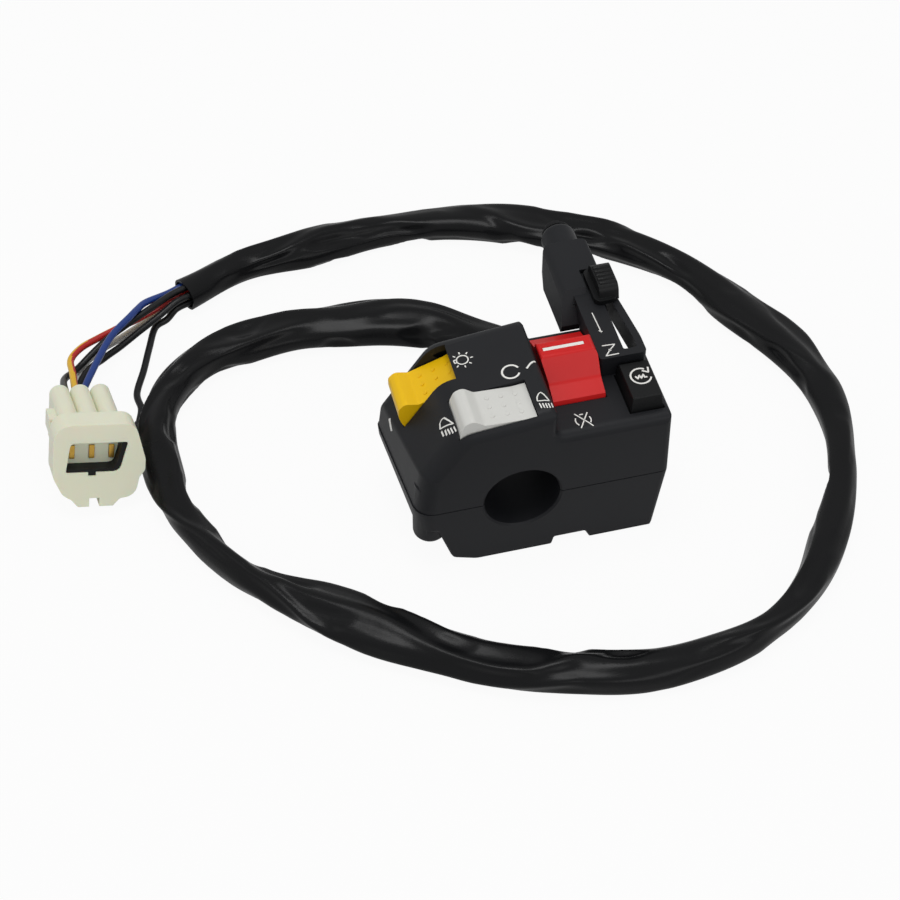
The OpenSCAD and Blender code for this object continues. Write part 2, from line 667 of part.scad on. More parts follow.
// Hole for a clamp screw with its head's recess below, from the seat up
module screw_hole(depth) {
    translate([0, 0, -foot_z]) cylinder(r = clamp_head_r + hole_gap, h = foot_z);
    translate([0, 0, -cut]) cylinder(r = clamp_r + hole_gap, h = depth + 2 * cut);
}
cross_w = 1;
cross_depth = 3;
module clamp_screw(seat, tip) {
    translate([0, 0, seat]) cylinder(r = clamp_r, h = tip - seat);
    difference() {
        translate([0, 0, seat - clamp_head_h]) cylinder(r = clamp_head_r, h = clamp_head_h);
        for (turn = [0, 90])
            rotate(turn) translate([0, 0, seat - clamp_head_h])
                cube([clamp_head_r * 1.3, cross_w, cross_depth], center = true);
    }
}
module housing_screws() color(steel) {
    translate([left_screw[0], left_screw[1], 0]) clamp_screw(left_seat, left_tip);
    translate([right_screw[0], right_screw[1], 0]) clamp_screw(right_seat, right_tip);
}

// Lighting rocker at mid swing: a thumb ridge at the left end, and a flat with grip dots falling to the right
ridge_at = 5;
valley_at = 7.6;
valley_rise = 1.7;
flat_end = 3.5;
flat_drop = 1.2;
dot_r = 0.6;
dot_rise = 0.25;
dot_pitch = [4, 3.4];
dot_first = 10.4;
module lighting_rocker() {
    half = rocker_len / 2;
    rise = pivot_depth + rocker_ridge;
    fall = (valley_rise + flat_drop) / (rocker_len - valley_at - flat_end);
    difference() {
        union() {
            along_y(-rocker_w / 2, rocker_w / 2) intersection() {
                polygon(rounded([[[-rocker_r, 0], 0], [[rocker_r, 0], 0],
                    [[rocker_r, pivot_depth - flat_drop - 0.4], 0],
                    [[half - flat_end, pivot_depth - flat_drop], 6],
                    [[-half + valley_at, pivot_depth + valley_rise], 2],
                    [[-half + ridge_at, rise], 2], [[-half + 2.4, rise - 0.4], 2],
                    [[-rocker_r - 1, pivot_depth - 1], 0]], 5));
                circle(r = rocker_r);
            }
            rod_y(0, 0, hub_r, -rocker_w / 2, rocker_w / 2);
            block([-foot_half, -bar_w / 2, -foot_depth], [foot_half, bar_w / 2, 1]);
            for (i = [0 : 2], j = [-1 : 1]) {
                x = dot_first + i * dot_pitch[0];
                top = pivot_depth + valley_rise - (x - valley_at) * fall + dot_rise;
                translate([x - half, j * dot_pitch[1], 0]) cylinder(r = dot_r, h = top);
            }
        }
        rod_y(0, 0, pin_r + pin_run, -rocker_w, rocker_w);
    }
}
// Contact bar under a rocker's foot, and the board with its grooves' clearance
module contact_bar() {
    half = bar_w / 2 - bar_ease;
    block([-bar_half, -half, -foot_depth - bar_t], [bar_half, half, -foot_depth]);
}
rivets = [-3.6, 0, 3.6];
module contact_board() {
    difference() {
        block([-board_half, -board_end + seat_gap, -rocker_board - board_t],
            [board_half, board_end - seat_gap, -rocker_board]);
        for (u = rivets)
            translate([u, 0, -rocker_board - board_t - cut])
                cylinder(r = rivet_r + thread_gap, h = board_t + 2 * cut);
    }
}
module board_rivets(depth) {
    for (u = rivets)
        translate([u, 0, -depth - board_t]) cylinder(r = rivet_r, h = board_t + rivet_proud);
}
module rocker_pin() {
    end = rocker_w / 2 + rocker_gap + groove - seat_gap;
    rod_y(0, 0, pin_r, -end, end);
}
// The headlamp rocker rests with its ridge up, the dimmer rocker with its ridge down
module light_rest() {
    at_light() rotate([0, rocker_swing / 2, 0]) children();
}
module dimmer_rest() {
    at_dimmer() rotate([0, -rocker_swing / 2, 0]) children();
}

module light_rocker() color(signal_yellow) light_rest() lighting_rocker();
module light_rocker_pin() color(steel) at_light() rocker_pin();
module light_contact() color(brass) light_rest() contact_bar();
module light_board() color(board_brown) at_light() contact_board();
module dimmer_rocker() color(pale_grey) dimmer_rest() lighting_rocker();
module dimmer_rocker_pin() color(steel) at_dimmer() rocker_pin();
module dimmer_contact() color(brass) dimmer_rest() contact_bar();
module dimmer_board() color(board_brown) at_dimmer() contact_board();

// Stop rocker: a tall ridge between two sloping pads, with a white stripe let into the ridge
stripe_w = 1.2;
stripe_depth = 0.5;
stripe_left = 1.6;
stripe_right = 3.1;
ridge_round = 2;
ridge_half = 2.1;
ridge_lean = 1.4;
ridge_top = sqrt(pow(stop_r, 2) - pow(ridge_half, 2)) - 0.2;
module stop_profile() {
    half = stop_len / 2;
    intersection() {
        polygon(rounded([[[-stop_r, 0], 0], [[stop_r, 0], 0], [[half, pivot_depth + 1], 0],
            [[half - 5.2, pivot_depth + 3.2], 3], [[ridge_half + 0.6, ridge_top], 1.4],
            [[-ridge_half - 0.6, ridge_top], 1.4], [[-half + 5.2, pivot_depth + 3.2], 3],
            [[-half, pivot_depth + 1], 0]], 5));
        circle(r = stop_r);
    }
}
module at_stop() {
    translate([0, stop_y, stop_z]) children();
}
module stop_stripe_space(ease) {
    block([stop_x0 - ridge_lean + stripe_left - ease, -stripe_w / 2 - ease, ridge_top - stripe_depth - ease],
        [stop_x1 - stripe_right + ease, stripe_w / 2 + ease, ridge_top + (ease > 0 ? cut : 0)]);
}
module stop_rocker() color(stop_red) at_stop() difference() {
    union() {
        intersection() {
            along_x(stop_x0 - ridge_lean, stop_x1) stop_profile();
            along_y(-stop_r, stop_r) polygon(rounded([[[stop_x0, 0], 0], [[stop_x1, 0], 0],
                [[stop_x1, ridge_top], ridge_round], [[stop_x0 - ridge_lean, ridge_top], 1],
                [[stop_x0, pivot_depth + 3.5], 0]], 5));
        }
        rod_x(0, 0, hub_r, stop_x0, stop_x1);
        block([stop_mid - bar_w / 2, -foot_half, -foot_depth], [stop_mid + bar_w / 2, foot_half, 1]);
    }
    rod_x(0, 0, pin_r + pin_run, stop_x0 - cut, stop_x1 + cut);
    stop_stripe_space(0.03);
}
module stop_stripe() color("white") at_stop() stop_stripe_space(0);
module stop_rocker_pin() color(steel) at_stop()
    rod_x(0, 0, pin_r, stop_x0 - rocker_gap - groove + seat_gap, stop_x1 + rocker_gap + groove - seat_gap);
module stop_contact() color(brass) at_stop()
    block([stop_mid - bar_w / 2 + bar_ease, -stop_bar_half, -foot_depth - bar_t],
        [stop_mid + bar_w / 2 - bar_ease, stop_bar_half, -foot_depth]);
module stop_board() color(board_brown) at_stop() difference() {
    block([stop_x0 - rocker_gap - groove + seat_gap, -stop_cheek_half + 1 + seat_gap, -stop_board - board_t],
        [stop_x1 + rocker_gap + groove - seat_gap, stop_cheek_half - 1 - seat_gap, -stop_board]);
    stop_rivets(rivet_r + thread_gap, cut);
}
module stop_rivets(r, beyond) {
    for (v = rivets)
        translate([stop_mid, v, -stop_board - board_t - beyond])
            cylinder(r = r, h = board_t + 2 * beyond + (beyond > 0 ? 0 : rivet_proud));
}

// Start button: a tapered cap on a guided skirt, held in by a flange under the deck
module start_button() color(black_button) difference() {
    union() {
        hull() {
            block([start_x - start_w / 2, start_y - start_len / 2, deck_z - 2],
                [start_x + start_w / 2, start_y + start_len / 2, deck_z]);
            block([start_x - start_w / 2 + start_taper, start_y - start_len / 2 + start_taper, deck_z + 1],
                [start_x + start_w / 2 - start_taper, start_y + start_len / 2 - start_taper,
                    deck_z + start_h]);
        }
        block([start_x - start_w / 2, start_y - start_len / 2, start_bottom],
            [start_x + start_w / 2, start_y + start_len / 2, deck_z - 1]);
        block([start_x - start_w / 2 - start_flange - start_gap, start_y - start_len / 2 + 3, start_bottom],
            [start_x, start_y + start_len / 2 - 3, start_bottom + start_flange_t]);
    }
    translate([start_x, start_y, start_bottom - cut])
        cylinder(r = spring_r + spring_wire + hole_gap, h = spring_well + cut);
}
spring_wire = 0.4;
spring_r = 2.6;
spring_turns = 6;
spring_well = 5;
spring_sides = 6;
spring_steps = 8;
module start_contact() color(brass) translate([start_x, start_y, start_bottom - start_disc_t]) difference() {
    translate([0, 0, start_disc_t / 2]) cube([start_w - 1.5, start_len - 3, start_disc_t], center = true);
    translate([0, 0, -cut]) cylinder(r = spring_r + spring_wire + hole_gap, h = start_disc_t + 2 * cut);
}
// Return spring between the board and the well in the button, one turn after another
spring_z0 = start_board_z + spring_wire + 0.05;
spring_z1 = start_bottom + spring_well - spring_wire - 0.05;
function spring_point(t) =
    [start_x + spring_r * cos(360 * t), start_y + spring_r * sin(360 * t),
        spring_z0 + (spring_z1 - spring_z0) * t / spring_turns];
module start_spring() color(steel)
    tube([for (k = [0 : spring_turns * spring_steps]) spring_point(k / spring_steps)],
        2 * spring_wire, spring_sides);
module start_board() color(board_brown) difference() {
    block([start_board_x0, start_y - start_board_half, start_board_z - board_t],
        [start_board_x1, start_y + start_board_half, start_board_z]);
    start_rivets(rivet_r + thread_gap, cut);
}
module start_rivets(r, beyond) {
    for (side = [-1, 1])
        translate([start_x, start_y + side * start_rivet, start_board_z - board_t - beyond])
            cylinder(r = r, h = board_t + 2 * beyond + (beyond > 0 ? 0 : rivet_proud));
}
module fixed_contacts() color(brass) {
    at_light() board_rivets(rocker_board);
    at_dimmer() board_rivets(rocker_board);
    at_stop() stop_rivets(rivet_r, 0);
    start_rivets(rivet_r, 0);
}

// Choke housing: an open tray with a curved guard rail, a box behind it and a barrel for the cable
tray_outline = rounded([[[choke_x0, choke_y0], 1], [[choke_x1, choke_y0], 1.2],
    [[choke_x1, choke_y0 + tray_bend], 20], [[choke_x1 - tray_narrow, tray_back - 8], 12],
    [[choke_x1 - tray_narrow - 0.4, tray_back], 0], [[choke_x0, tray_back], 0]], 6);
slot_outline = rounded([[[slot_x0, slot_y0], 0.6], [[choke_x1 - rail_t, slot_y0], 0.6],
    [[choke_x1 - rail_t, choke_y0 + tray_bend], 20],
    [[choke_x1 - rail_t - tray_narrow, tray_back - 8], 4],
    [[choke_x1 - rail_t - tray_narrow - 0.2, tray_back - 3], 0.6], [[slot_x0, tray_back - 3], 0.6]], 6);
module choke_box_profile() {
    polygon(rounded([[[box_x0, box_bottom], 0], [[box_x1, box_bottom], 0], [[box_x1, box_top], 1],
        [[box_x0 + 2, box_top], box_r]], 5));
}
module choke_housing() color(black_shell) difference() {
    union() {
        translate([0, 0, deck_z]) linear_extrude(choke_h) polygon(tray_outline);
        intersection() {
            along_y(box_y0, box_y1) choke_box_profile();
            linear_extrude(box_top + cut) polygon(rounded([[[box_x0, box_y0], 0], [[box_x1, box_y0], 0],
                [[box_x1, box_y1], 2], [[box_x0 + 2, box_y1], 2], [[box_x0, box_y1 - 9], 4]], 4));
            along_x(box_x0, box_x1) polygon([[box_y0, 0], [box_y1, 0], [box_y1, box_top],
                [box_front, box_top], [box_y0, deck_z + 1]]);
        }
        translate([barrel_x, box_y1 - 2, barrel_z]) rotate([-90, 0, 0]) rotate_extrude()
            polygon(rounded([[[0, 0], 0], [[barrel_r, 0], 0], [[barrel_r, barrel_len + 2], barrel_round],
                [[0, barrel_len + 2], 0]], 4));
    }
    translate([0, 0, deck_z - cut]) linear_extrude(choke_h + 2 * cut) polygon(slot_outline);
    block([knob_space_x, choke_y0 + 10, choke_top], [choke_x1 + cut, tray_back, box_top + cut]);
    choke_hollow();
    block([box_x0 + choke_skin, box_y0 + choke_skin, box_bottom - cut],
        [box_x1 - choke_skin, box_y1 - choke_skin, base_top + seat_gap]);
    for (x = choke_screws_x)
        translate([x, choke_screw_y, deck_z - cut])
            cylinder(r = choke_screw_r + thread_gap, h = choke_screw_tip - deck_z + cut + tip_air);
    for (y = base_screws_y)
        translate([base_screws_x, y, base_top - cut])
            cylinder(r = base_screw_r + thread_gap, h = base_screw_bite + tip_air + cut);
    rod_y(barrel_x, barrel_z, ferrule_r + thread_gap, box_y1 - choke_skin - cut, box_y1 + barrel_len + cut);
}
// Room under the tray for the slider, open below in front of the box
module choke_hollow() {
    block([choke_x0 + choke_skin, choke_block_y, deck_z - cut],
        [slot_x0 + cut, tray_back, choke_top - choke_skin]);
    block([choke_x0 + choke_skin, choke_y0 + choke_skin, choke_block_z],
        [slot_x0 + cut, choke_block_y + cut, choke_top - choke_skin]);
    block([slider_x0 - slide_gap, choke_block_y, base_top],
        [slider_x1 + slide_gap, box_y1 - choke_skin, choke_top - choke_skin]);
}
module choke_base() color(black_shell) difference() {
    block([box_x0 + choke_skin + seat_gap, box_y0 + choke_skin + seat_gap, box_bottom],
        [box_x1 - choke_skin - seat_gap, box_y1 - choke_skin - seat_gap, base_top]);
    for (y = base_screws_y) {
        translate([base_screws_x, y, box_bottom - cut]) {
            cylinder(r = base_screw_r + hole_gap, h = base_t + 2 * cut);
            cylinder(r = base_screw_head_r + hole_gap, h = cut + base_screw_head_h);
        }
    }
    rod_y(barrel_x, barrel_z, ferrule_r + hole_gap, box_y1 - choke_skin - ferrule_len, box_y1);
}
module choke_base_screws() color(steel) {
    for (y = base_screws_y)
        translate([base_screws_x, y, box_bottom]) {
            cylinder(r = base_screw_head_r, h = base_screw_head_h);
            cylinder(r = base_screw_r, h = base_t + base_screw_bite);
        }
}
module choke_screws() color(steel) {
    for (x = choke_screws_x)
        translate([x, choke_screw_y, deck_z - wall - choke_screw_head_h]) {
            cylinder(r = choke_screw_head_r, h = choke_screw_head_h);
            cylinder(r = choke_screw_r, h = choke_screw_tip - deck_z + wall + choke_screw_head_h);
        }
}
module choke_slider() color(black_button) {
    block([slider_x0, slider_y0, slider_top - slider_t], [slider_x1, slider_y1, slider_top]);
    block([stem_x0, knob_y - stem_half, slider_top - 1], [stem_x1, knob_y + stem_half, stem_top]);
}
// Knob: a base plate, a thumb block with a sloping front, and ribs across its top
knob_front = knob_y - knob_len / 2;
knob_back = knob_y + knob_len / 2;
rib_r = 0.65;
rib_top = knob_z0 + knob_h - 0.2;
module choke_knob() color(black_button) difference() {
    union() {
        translate([0, 0, knob_z0]) linear_extrude(knob_base) polygon(rounded([[[knob_x0, knob_front], 2],
            [[knob_x1, knob_front], 3], [[knob_x1, knob_back], 4], [[knob_x0, knob_back], 2]], 5));
        along_x(knob_x0 + 1.5, knob_x1) polygon(rounded([[[knob_front + 0.8, knob_z0 + 0.5], 0],
            [[knob_back - 0.8, knob_z0 + 0.5], 0], [[knob_back - 1.2, knob_z0 + knob_h], 2.5],
            [[knob_front + 2, knob_z0 + knob_h], 2.5]], 5));
        for (i = [0 : knob_ribs - 1])
            rod_x(knob_y + (i - (knob_ribs - 1) / 2) * rib_pitch, rib_top, rib_r, knob_x0 + 2, knob_x1 - 0.3);
    }
    block([stem_x0 - seat_gap, knob_y - stem_half - seat_gap, knob_z0 - cut],
        [stem_x1 + seat_gap, knob_y + stem_half + seat_gap, stem_top + seat_gap]);
}
// Bowed leaf that rests on the base and bears on the slider
module choke_friction_spring() color(steel)
    block([slider_x0 + 0.5, slider_y1 - 14, base_top + seat_gap],
        [slider_x0 + 4, slider_y1 - 4, base_top + seat_gap + spring_leaf]);
module cable_ferrule() color(black_button)
    translate([barrel_x, box_y1 + barrel_len - ferrule_len + 1, barrel_z])
        rotate([-90, 0, 0]) rotate_extrude()
        polygon([[cable_d / 2, 0], [ferrule_r, 0], [ferrule_r, ferrule_len - 1 + seat_gap],
            [ferrule_r + ferrule_lip, ferrule_len - 1 + seat_gap], [ferrule_r + ferrule_lip, ferrule_len],
            [ferrule_r, ferrule_len], [ferrule_r - 0.2, ferrule_len + ferrule_nose - 1],
            [cable_d / 2, ferrule_len + ferrule_nose - 1]]);

// Rubber grommet: a neck in the housing wall between two lips, and a tapered tail
module harness_grommet() color(sleeve_black)
    translate([exit_x, back_y, exit_z]) rotate([-90, 0, 0]) rotate_extrude()
        polygon([[0, -wall - grommet_lip], [grommet_lip_r, -wall - grommet_lip],
            [grommet_lip_r, -wall - seat_gap],
            [exit_r - seat_gap, -wall - seat_gap], [exit_r - seat_gap, seat_gap], [grommet_lip_r, seat_gap],
            [grommet_lip_r, grommet_lip], [sleeve_d / 2 + 0.3, grommet_lip + grommet_tail],
            [0, grommet_lip + grommet_tail]]);
module harness_sleeve() color(sleeve_black) tube(sleeve_route, sleeve_d, 10);
module blue_wire() color("royalblue") tube(blue_route, wire_d, 8);
module yellow_wire() color("gold") tube(yellow_route, wire_d, 8);
module white_wire() color("whitesmoke") tube(white_route, wire_d, 8);
module left_black_wire() color(sleeve_black) tube(left_black_route, wire_d, 8);
module right_black_wire() color(sleeve_black) tube(right_black_route, wire_d, 8);
module ground_wire() color(sleeve_black) tube(ground_route, wire_d, 8);
// Insulating sleeve over the ground wire's bullet terminal
module ground_bullet() color(sleeve_black)
    translate(bullet_tip) rotate([-90, 0, -bullet_turn]) rotate_extrude()
        polygon([[0.9, 0], [bullet_r, 0], [bullet_r, bullet_len - 3], [bullet_r - 0.4, bullet_len - 2],
            [wire_d / 2 + 0.3, bullet_len], [0, bullet_len], [0, 5], [0.9, 5]]);

// Connector in its own frame: the mating face looks along -Y, the wires leave along +Y
module at_connector() {
    translate(connector_at) rotate([-connector_tilt, 0, connector_turn])
        rotate([0, connector_roll, 0]) children();
}
module shroud_profile() {
    half = shroud_w / 2;
    difference() {
        polygon(rounded([[[legs_u[0], 0], 0.6], [[legs_u[1], 0], 0.6], [[legs_u[1] + 2, leg_h], 1.5],
            [[half - 2.6, leg_h + 0.6], 4], [[half - 1.6, 9], 1], [[half, 11.4], 1.5], [[half, 15], 3],
            [[half - 3.4, shroud_h], 4], [[-half, shroud_h], 5], [[-half, 10], 5],
            [[-half + 3, leg_h + 1.6], 4], [[legs_u[0] - 2, leg_h], 1.5]], 4));
        translate([keyway_u[0], -cut]) square([keyway_u[1] - keyway_u[0], keyway_h + cut]);
    }
}
function socket_corners(ease) = [[[socket_floor_u[0] - ease, socket_z0 - ease], 0.6],
    [[socket_floor_u[1] + ease, socket_z0 - ease], 2.4], [[socket_roof_u[1] + ease, socket_z1 + ease], 0.6],
    [[socket_roof_u[0] - ease, socket_z1 + ease], 1.5]];
module keeper_notch(ease) {
    block([keeper_tab[0] - ease, -shroud_len - cut, socket_z0 - keeper_tab_h - ease],
        [keeper_tab[1] + ease, socket_back, socket_z0 + cut]);
}
module connector_housing() color(nylon_ivory) at_connector() difference() {
    union() {
        along_y(-shroud_len, 0) shroud_profile();
        along_y(-1, wire_end_len) translate([wire_end_u - wire_end_w / 2, wire_end_z0])
            square([wire_end_w, wire_end_z1 - lobe_r + lobe_rise - wire_end_z0]);
        for (i = [0 : lobes - 1])
            rod_y(wire_end_u + (i - (lobes - 1) / 2) * 2 * lobe_r, wire_end_z1 - lobe_r + lobe_rise, lobe_r,
                -1, wire_end_len);
        block([wire_end_u - wire_end_w / 2 - latch_t, 4, wire_end_z1 - 7],
            [wire_end_u - wire_end_w / 2 + 1, wire_end_len - 10, wire_end_z1 - 2]);
    }
    along_y(-shroud_len - cut, socket_back) polygon(rounded(socket_corners(0), 3));
    keeper_notch(0.05);
    for (i = [-1 : 1])
        connector_blade(i, thread_gap, cut);
}
module connector_blade(i, ease, beyond) {
    u = blade_u + i * blade_pitch;
    block([u - blade_t / 2 - ease, socket_back - blade_out - beyond, blade_z - ease],
        [u + blade_t / 2 + ease, blade_in, blade_z + blade_w + ease]);
}
module connector_blades() color(brass) at_connector() {
    for (i = [-1 : 1])
        connector_blade(i, 0, 0);
}
// Black keeper: a lining along the socket's floor and right wall, with a tab in the shroud's edge
module connector_keeper() color(sleeve_black) at_connector() {
    along_y(-shroud_len + keeper_front, socket_back - 0.05) difference() {
        polygon(rounded(socket_corners(-0.05), 3));
        polygon(rounded([[[socket_floor_u[0] - cut, socket_z0 + keeper_t], 0],
            [[socket_floor_u[1] - keeper_side, socket_z0 + keeper_t], 2],
            [[socket_roof_u[1] - keeper_side, socket_z1 + cut], 0],
            [[socket_floor_u[0] - cut, socket_z1 + cut], 0]], 3));
    }
    block([keeper_tab[0], -shroud_len + keeper_front, socket_z0 - keeper_tab_h],
        [keeper_tab[1], socket_back - 0.05, socket_z0 + keeper_t / 2]);
}

upper_housing();
lower_housing();
housing_screws();
light_rocker();
light_rocker_pin();
light_contact();
light_board();
dimmer_rocker();
dimmer_rocker_pin();
dimmer_contact();
dimmer_board();
stop_rocker();
stop_stripe();
stop_rocker_pin();
stop_contact();
stop_board();
start_button();
start_contact();
start_spring();
start_board();
fixed_contacts();
choke_housing();
choke_base();
choke_screws();
choke_base_screws();
choke_slider();
choke_knob();
choke_friction_spring();
cable_ferrule();
harness_grommet();
harness_sleeve();
blue_wire();
yellow_wire();
white_wire();
left_black_wire();
right_black_wire();
ground_wire();
ground_bullet();
connector_housing();
connector_blades();
connector_keeper();
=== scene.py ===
# %% [markdown]
# A switch cluster for a handlebar: a black clamshell housing with a yellow, a pale grey and a red rocker,
# a start button, a sliding choke knob, and a sleeved harness that loops round to its plug.
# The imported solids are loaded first. They fix every size, and the steps below dress them.

# %% Load the frame
import json
import math
import bmesh
import bpy
from mathutils import Matrix, Vector, noise
from mathutils.bvhtree import BVHTree


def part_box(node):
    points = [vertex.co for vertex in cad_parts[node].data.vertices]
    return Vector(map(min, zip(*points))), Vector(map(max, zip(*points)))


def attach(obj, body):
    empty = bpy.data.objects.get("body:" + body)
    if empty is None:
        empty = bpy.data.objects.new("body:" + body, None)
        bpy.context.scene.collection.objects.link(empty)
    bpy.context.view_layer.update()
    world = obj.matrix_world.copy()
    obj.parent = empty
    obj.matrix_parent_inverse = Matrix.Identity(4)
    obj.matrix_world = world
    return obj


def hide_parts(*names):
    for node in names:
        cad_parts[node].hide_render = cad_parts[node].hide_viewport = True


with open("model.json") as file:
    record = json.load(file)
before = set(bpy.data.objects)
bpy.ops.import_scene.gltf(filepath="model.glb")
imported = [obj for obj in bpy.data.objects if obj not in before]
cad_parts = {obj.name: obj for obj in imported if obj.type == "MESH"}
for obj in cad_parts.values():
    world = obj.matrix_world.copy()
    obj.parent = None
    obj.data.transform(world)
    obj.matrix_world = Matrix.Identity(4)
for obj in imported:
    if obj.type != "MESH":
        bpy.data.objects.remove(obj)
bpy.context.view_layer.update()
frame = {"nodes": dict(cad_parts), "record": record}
nodes = frame["nodes"]
MM = 0.001
FLOOR_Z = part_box("lower_housing")[0].z
print("nodes", len(nodes), "floor at", round(FLOOR_Z / MM, 2), "mm")

# %% [markdown]
# The camera stands in front of the housing and above it, a little to the left. Its tilt and turn were fitted
# to the long edges of the housing, and its distance to the size of the handlebar bore.

# %% Camera
CAMERA_PLACE = Vector((-114.608, -388.725, 453.372)) * MM
CAMERA_DOWN = math.radians(48.3)
CAMERA_TURN = math.radians(14.2)
SENSOR_WIDE, LENS_LONG = 36, 84
camera_data = bpy.data.cameras.new("photo_camera")
camera_data.sensor_width = SENSOR_WIDE
camera_data.lens = LENS_LONG
camera_data.clip_start = 0.01
camera = bpy.data.objects.new("photo_camera", camera_data)
camera.location = CAMERA_PLACE
camera.rotation_euler = (math.pi / 2 - CAMERA_DOWN, 0, -CAMERA_TURN)
scene = bpy.context.scene
scene.collection.objects.link(camera)
scene.camera = camera
scene.view_settings.view_transform = "Standard"
print("camera", [round(v / MM) for v in camera.location])

# %% [markdown]
# Each material is a small node tree. These helpers keep the trees short: one adds a node with its settings,
# one starts a material with a Principled shader, and one makes the sockets of a shared group.

# %% Node helpers
def add_node(tree, kind, **settings):
    node = tree.nodes.new(kind)
    for name, value in settings.items():
        if name in node.inputs:
            node.inputs[name].default_value = value
        else:
            setattr(node, name, value)
    return node


def new_finish(name, **sockets):
    material = bpy.data.materials.new(name)
    material.use_nodes = True
    tree = material.node_tree
    shader = tree.nodes["Principled BSDF"]
    for socket, value in sockets.items():
        shader.inputs[socket.replace("_", " ")].default_value = value
    return material, tree, shader


def new_group(name, inputs, outputs):
    group = bpy.data.node_groups.new(name, "ShaderNodeTree")
    for label, kind, value in inputs:
        socket = group.interface.new_socket(label, in_out="INPUT", socket_type=kind)
        socket.default_value = value
    for label, kind in outputs:
        group.interface.new_socket(label, in_out="OUTPUT", socket_type=kind)
    return group, group.nodes.new("NodeGroupInput"), group.nodes.new("NodeGroupOutput")


def place_group(tree, group, **values):
    node = tree.nodes.new("ShaderNodeGroup")
    node.node_tree = group
    for label, value in values.items():
        node.inputs[label.replace("_", " ")].default_value = value
    return node


def linear(hex_colour):
    """The written colour as the linear values that a socket takes."""
    parts = [int(hex_colour[i : i + 2], 16) / 255 for i in (1, 3, 5)]
    return [p / 12.92 if p <= 0.04045 else ((p + 0.055) / 1.055) ** 2.4 for p in parts] + [1.0]


print("node helpers ready")

# %% [markdown]
# Moulded plastic is never one flat tone. This group mixes two close colours over soft clouds, and gives a fine
# grain whose height and roughness come from the same noise. Every moulded piece uses it with its own sizes.

# %% Moulded grain group
moulded, group_in, group_out = new_group(
    "moulded_grain",
    [
        ("Base", "NodeSocketColor", (0.5, 0.5, 0.5, 1)),
        ("Tone", "NodeSocketColor", (0.5, 0.5, 0.5, 1)),
        ("Grain Scale", "NodeSocketFloat", 2500.0),
        ("Cloud Scale", "NodeSocketFloat", 60.0),
        ("Rough Low", "NodeSocketFloat", 0.4),
        ("Rough High", "NodeSocketFloat", 0.5),
    ],
    [("Color", "NodeSocketColor"), ("Roughness", "NodeSocketFloat"), ("Height", "NodeSocketFloat")],
)
place = add_node(moulded, "ShaderNodeTexCoord")
cloud = add_node(moulded, "ShaderNodeTexNoise", Detail=3.0, Roughness=0.55)
grain = add_node(moulded, "ShaderNodeTexNoise", Detail=2.0, Roughness=0.6)
mix = add_node(moulded, "ShaderNodeMix", data_type="RGBA")
spread = add_node(moulded, "ShaderNodeMapRange")
link = moulded.links.new
link(place.outputs["Object"], cloud.inputs["Vector"])
link(place.outputs["Object"], grain.inputs["Vector"])
link(group_in.outputs["Cloud Scale"], cloud.inputs["Scale"])
link(group_in.outputs["Grain Scale"], grain.inputs["Scale"])
link(cloud.outputs["Fac"], mix.inputs["Factor"])
link(group_in.outputs["Base"], mix.inputs["A"])
link(group_in.outputs["Tone"], mix.inputs["B"])
link(mix.outputs["Result"], group_out.inputs["Color"])
link(cloud.outputs["Fac"], spread.inputs["Value"])
link(group_in.outputs["Rough Low"], spread.inputs["To Min"])
link(group_in.outputs["Rough High"], spread.inputs["To Max"])
link(spread.outputs["Result"], group_out.inputs["Roughness"])
link(grain.outputs["Fac"], group_out.inputs["Height"])


def moulded_finish(name, base, tone, rough, bump, grain_scale=2500.0, **sockets):
    """Moulded plastic or rubber: two close colours, a roughness range and a grain of the given bump height."""
    material, tree, shader = new_finish(name, **sockets)
    group = place_group(tree, moulded, Base=linear(base), Tone=linear(tone), Grain_Scale=grain_scale,
                        Rough_Low=rough[0], Rough_High=rough[1])
    relief = add_node(tree, "ShaderNodeBump", Strength=1.0, Distance=bump * MM)
    tree.links.new(group.outputs["Color"], shader.inputs["Base Color"])
    tree.links.new(group.outputs["Roughness"], shader.inputs["Roughness"])
    tree.links.new(group.outputs["Height"], relief.inputs["Height"])
    tree.links.new(relief.outputs["Normal"], shader.inputs["Normal"])
    return material


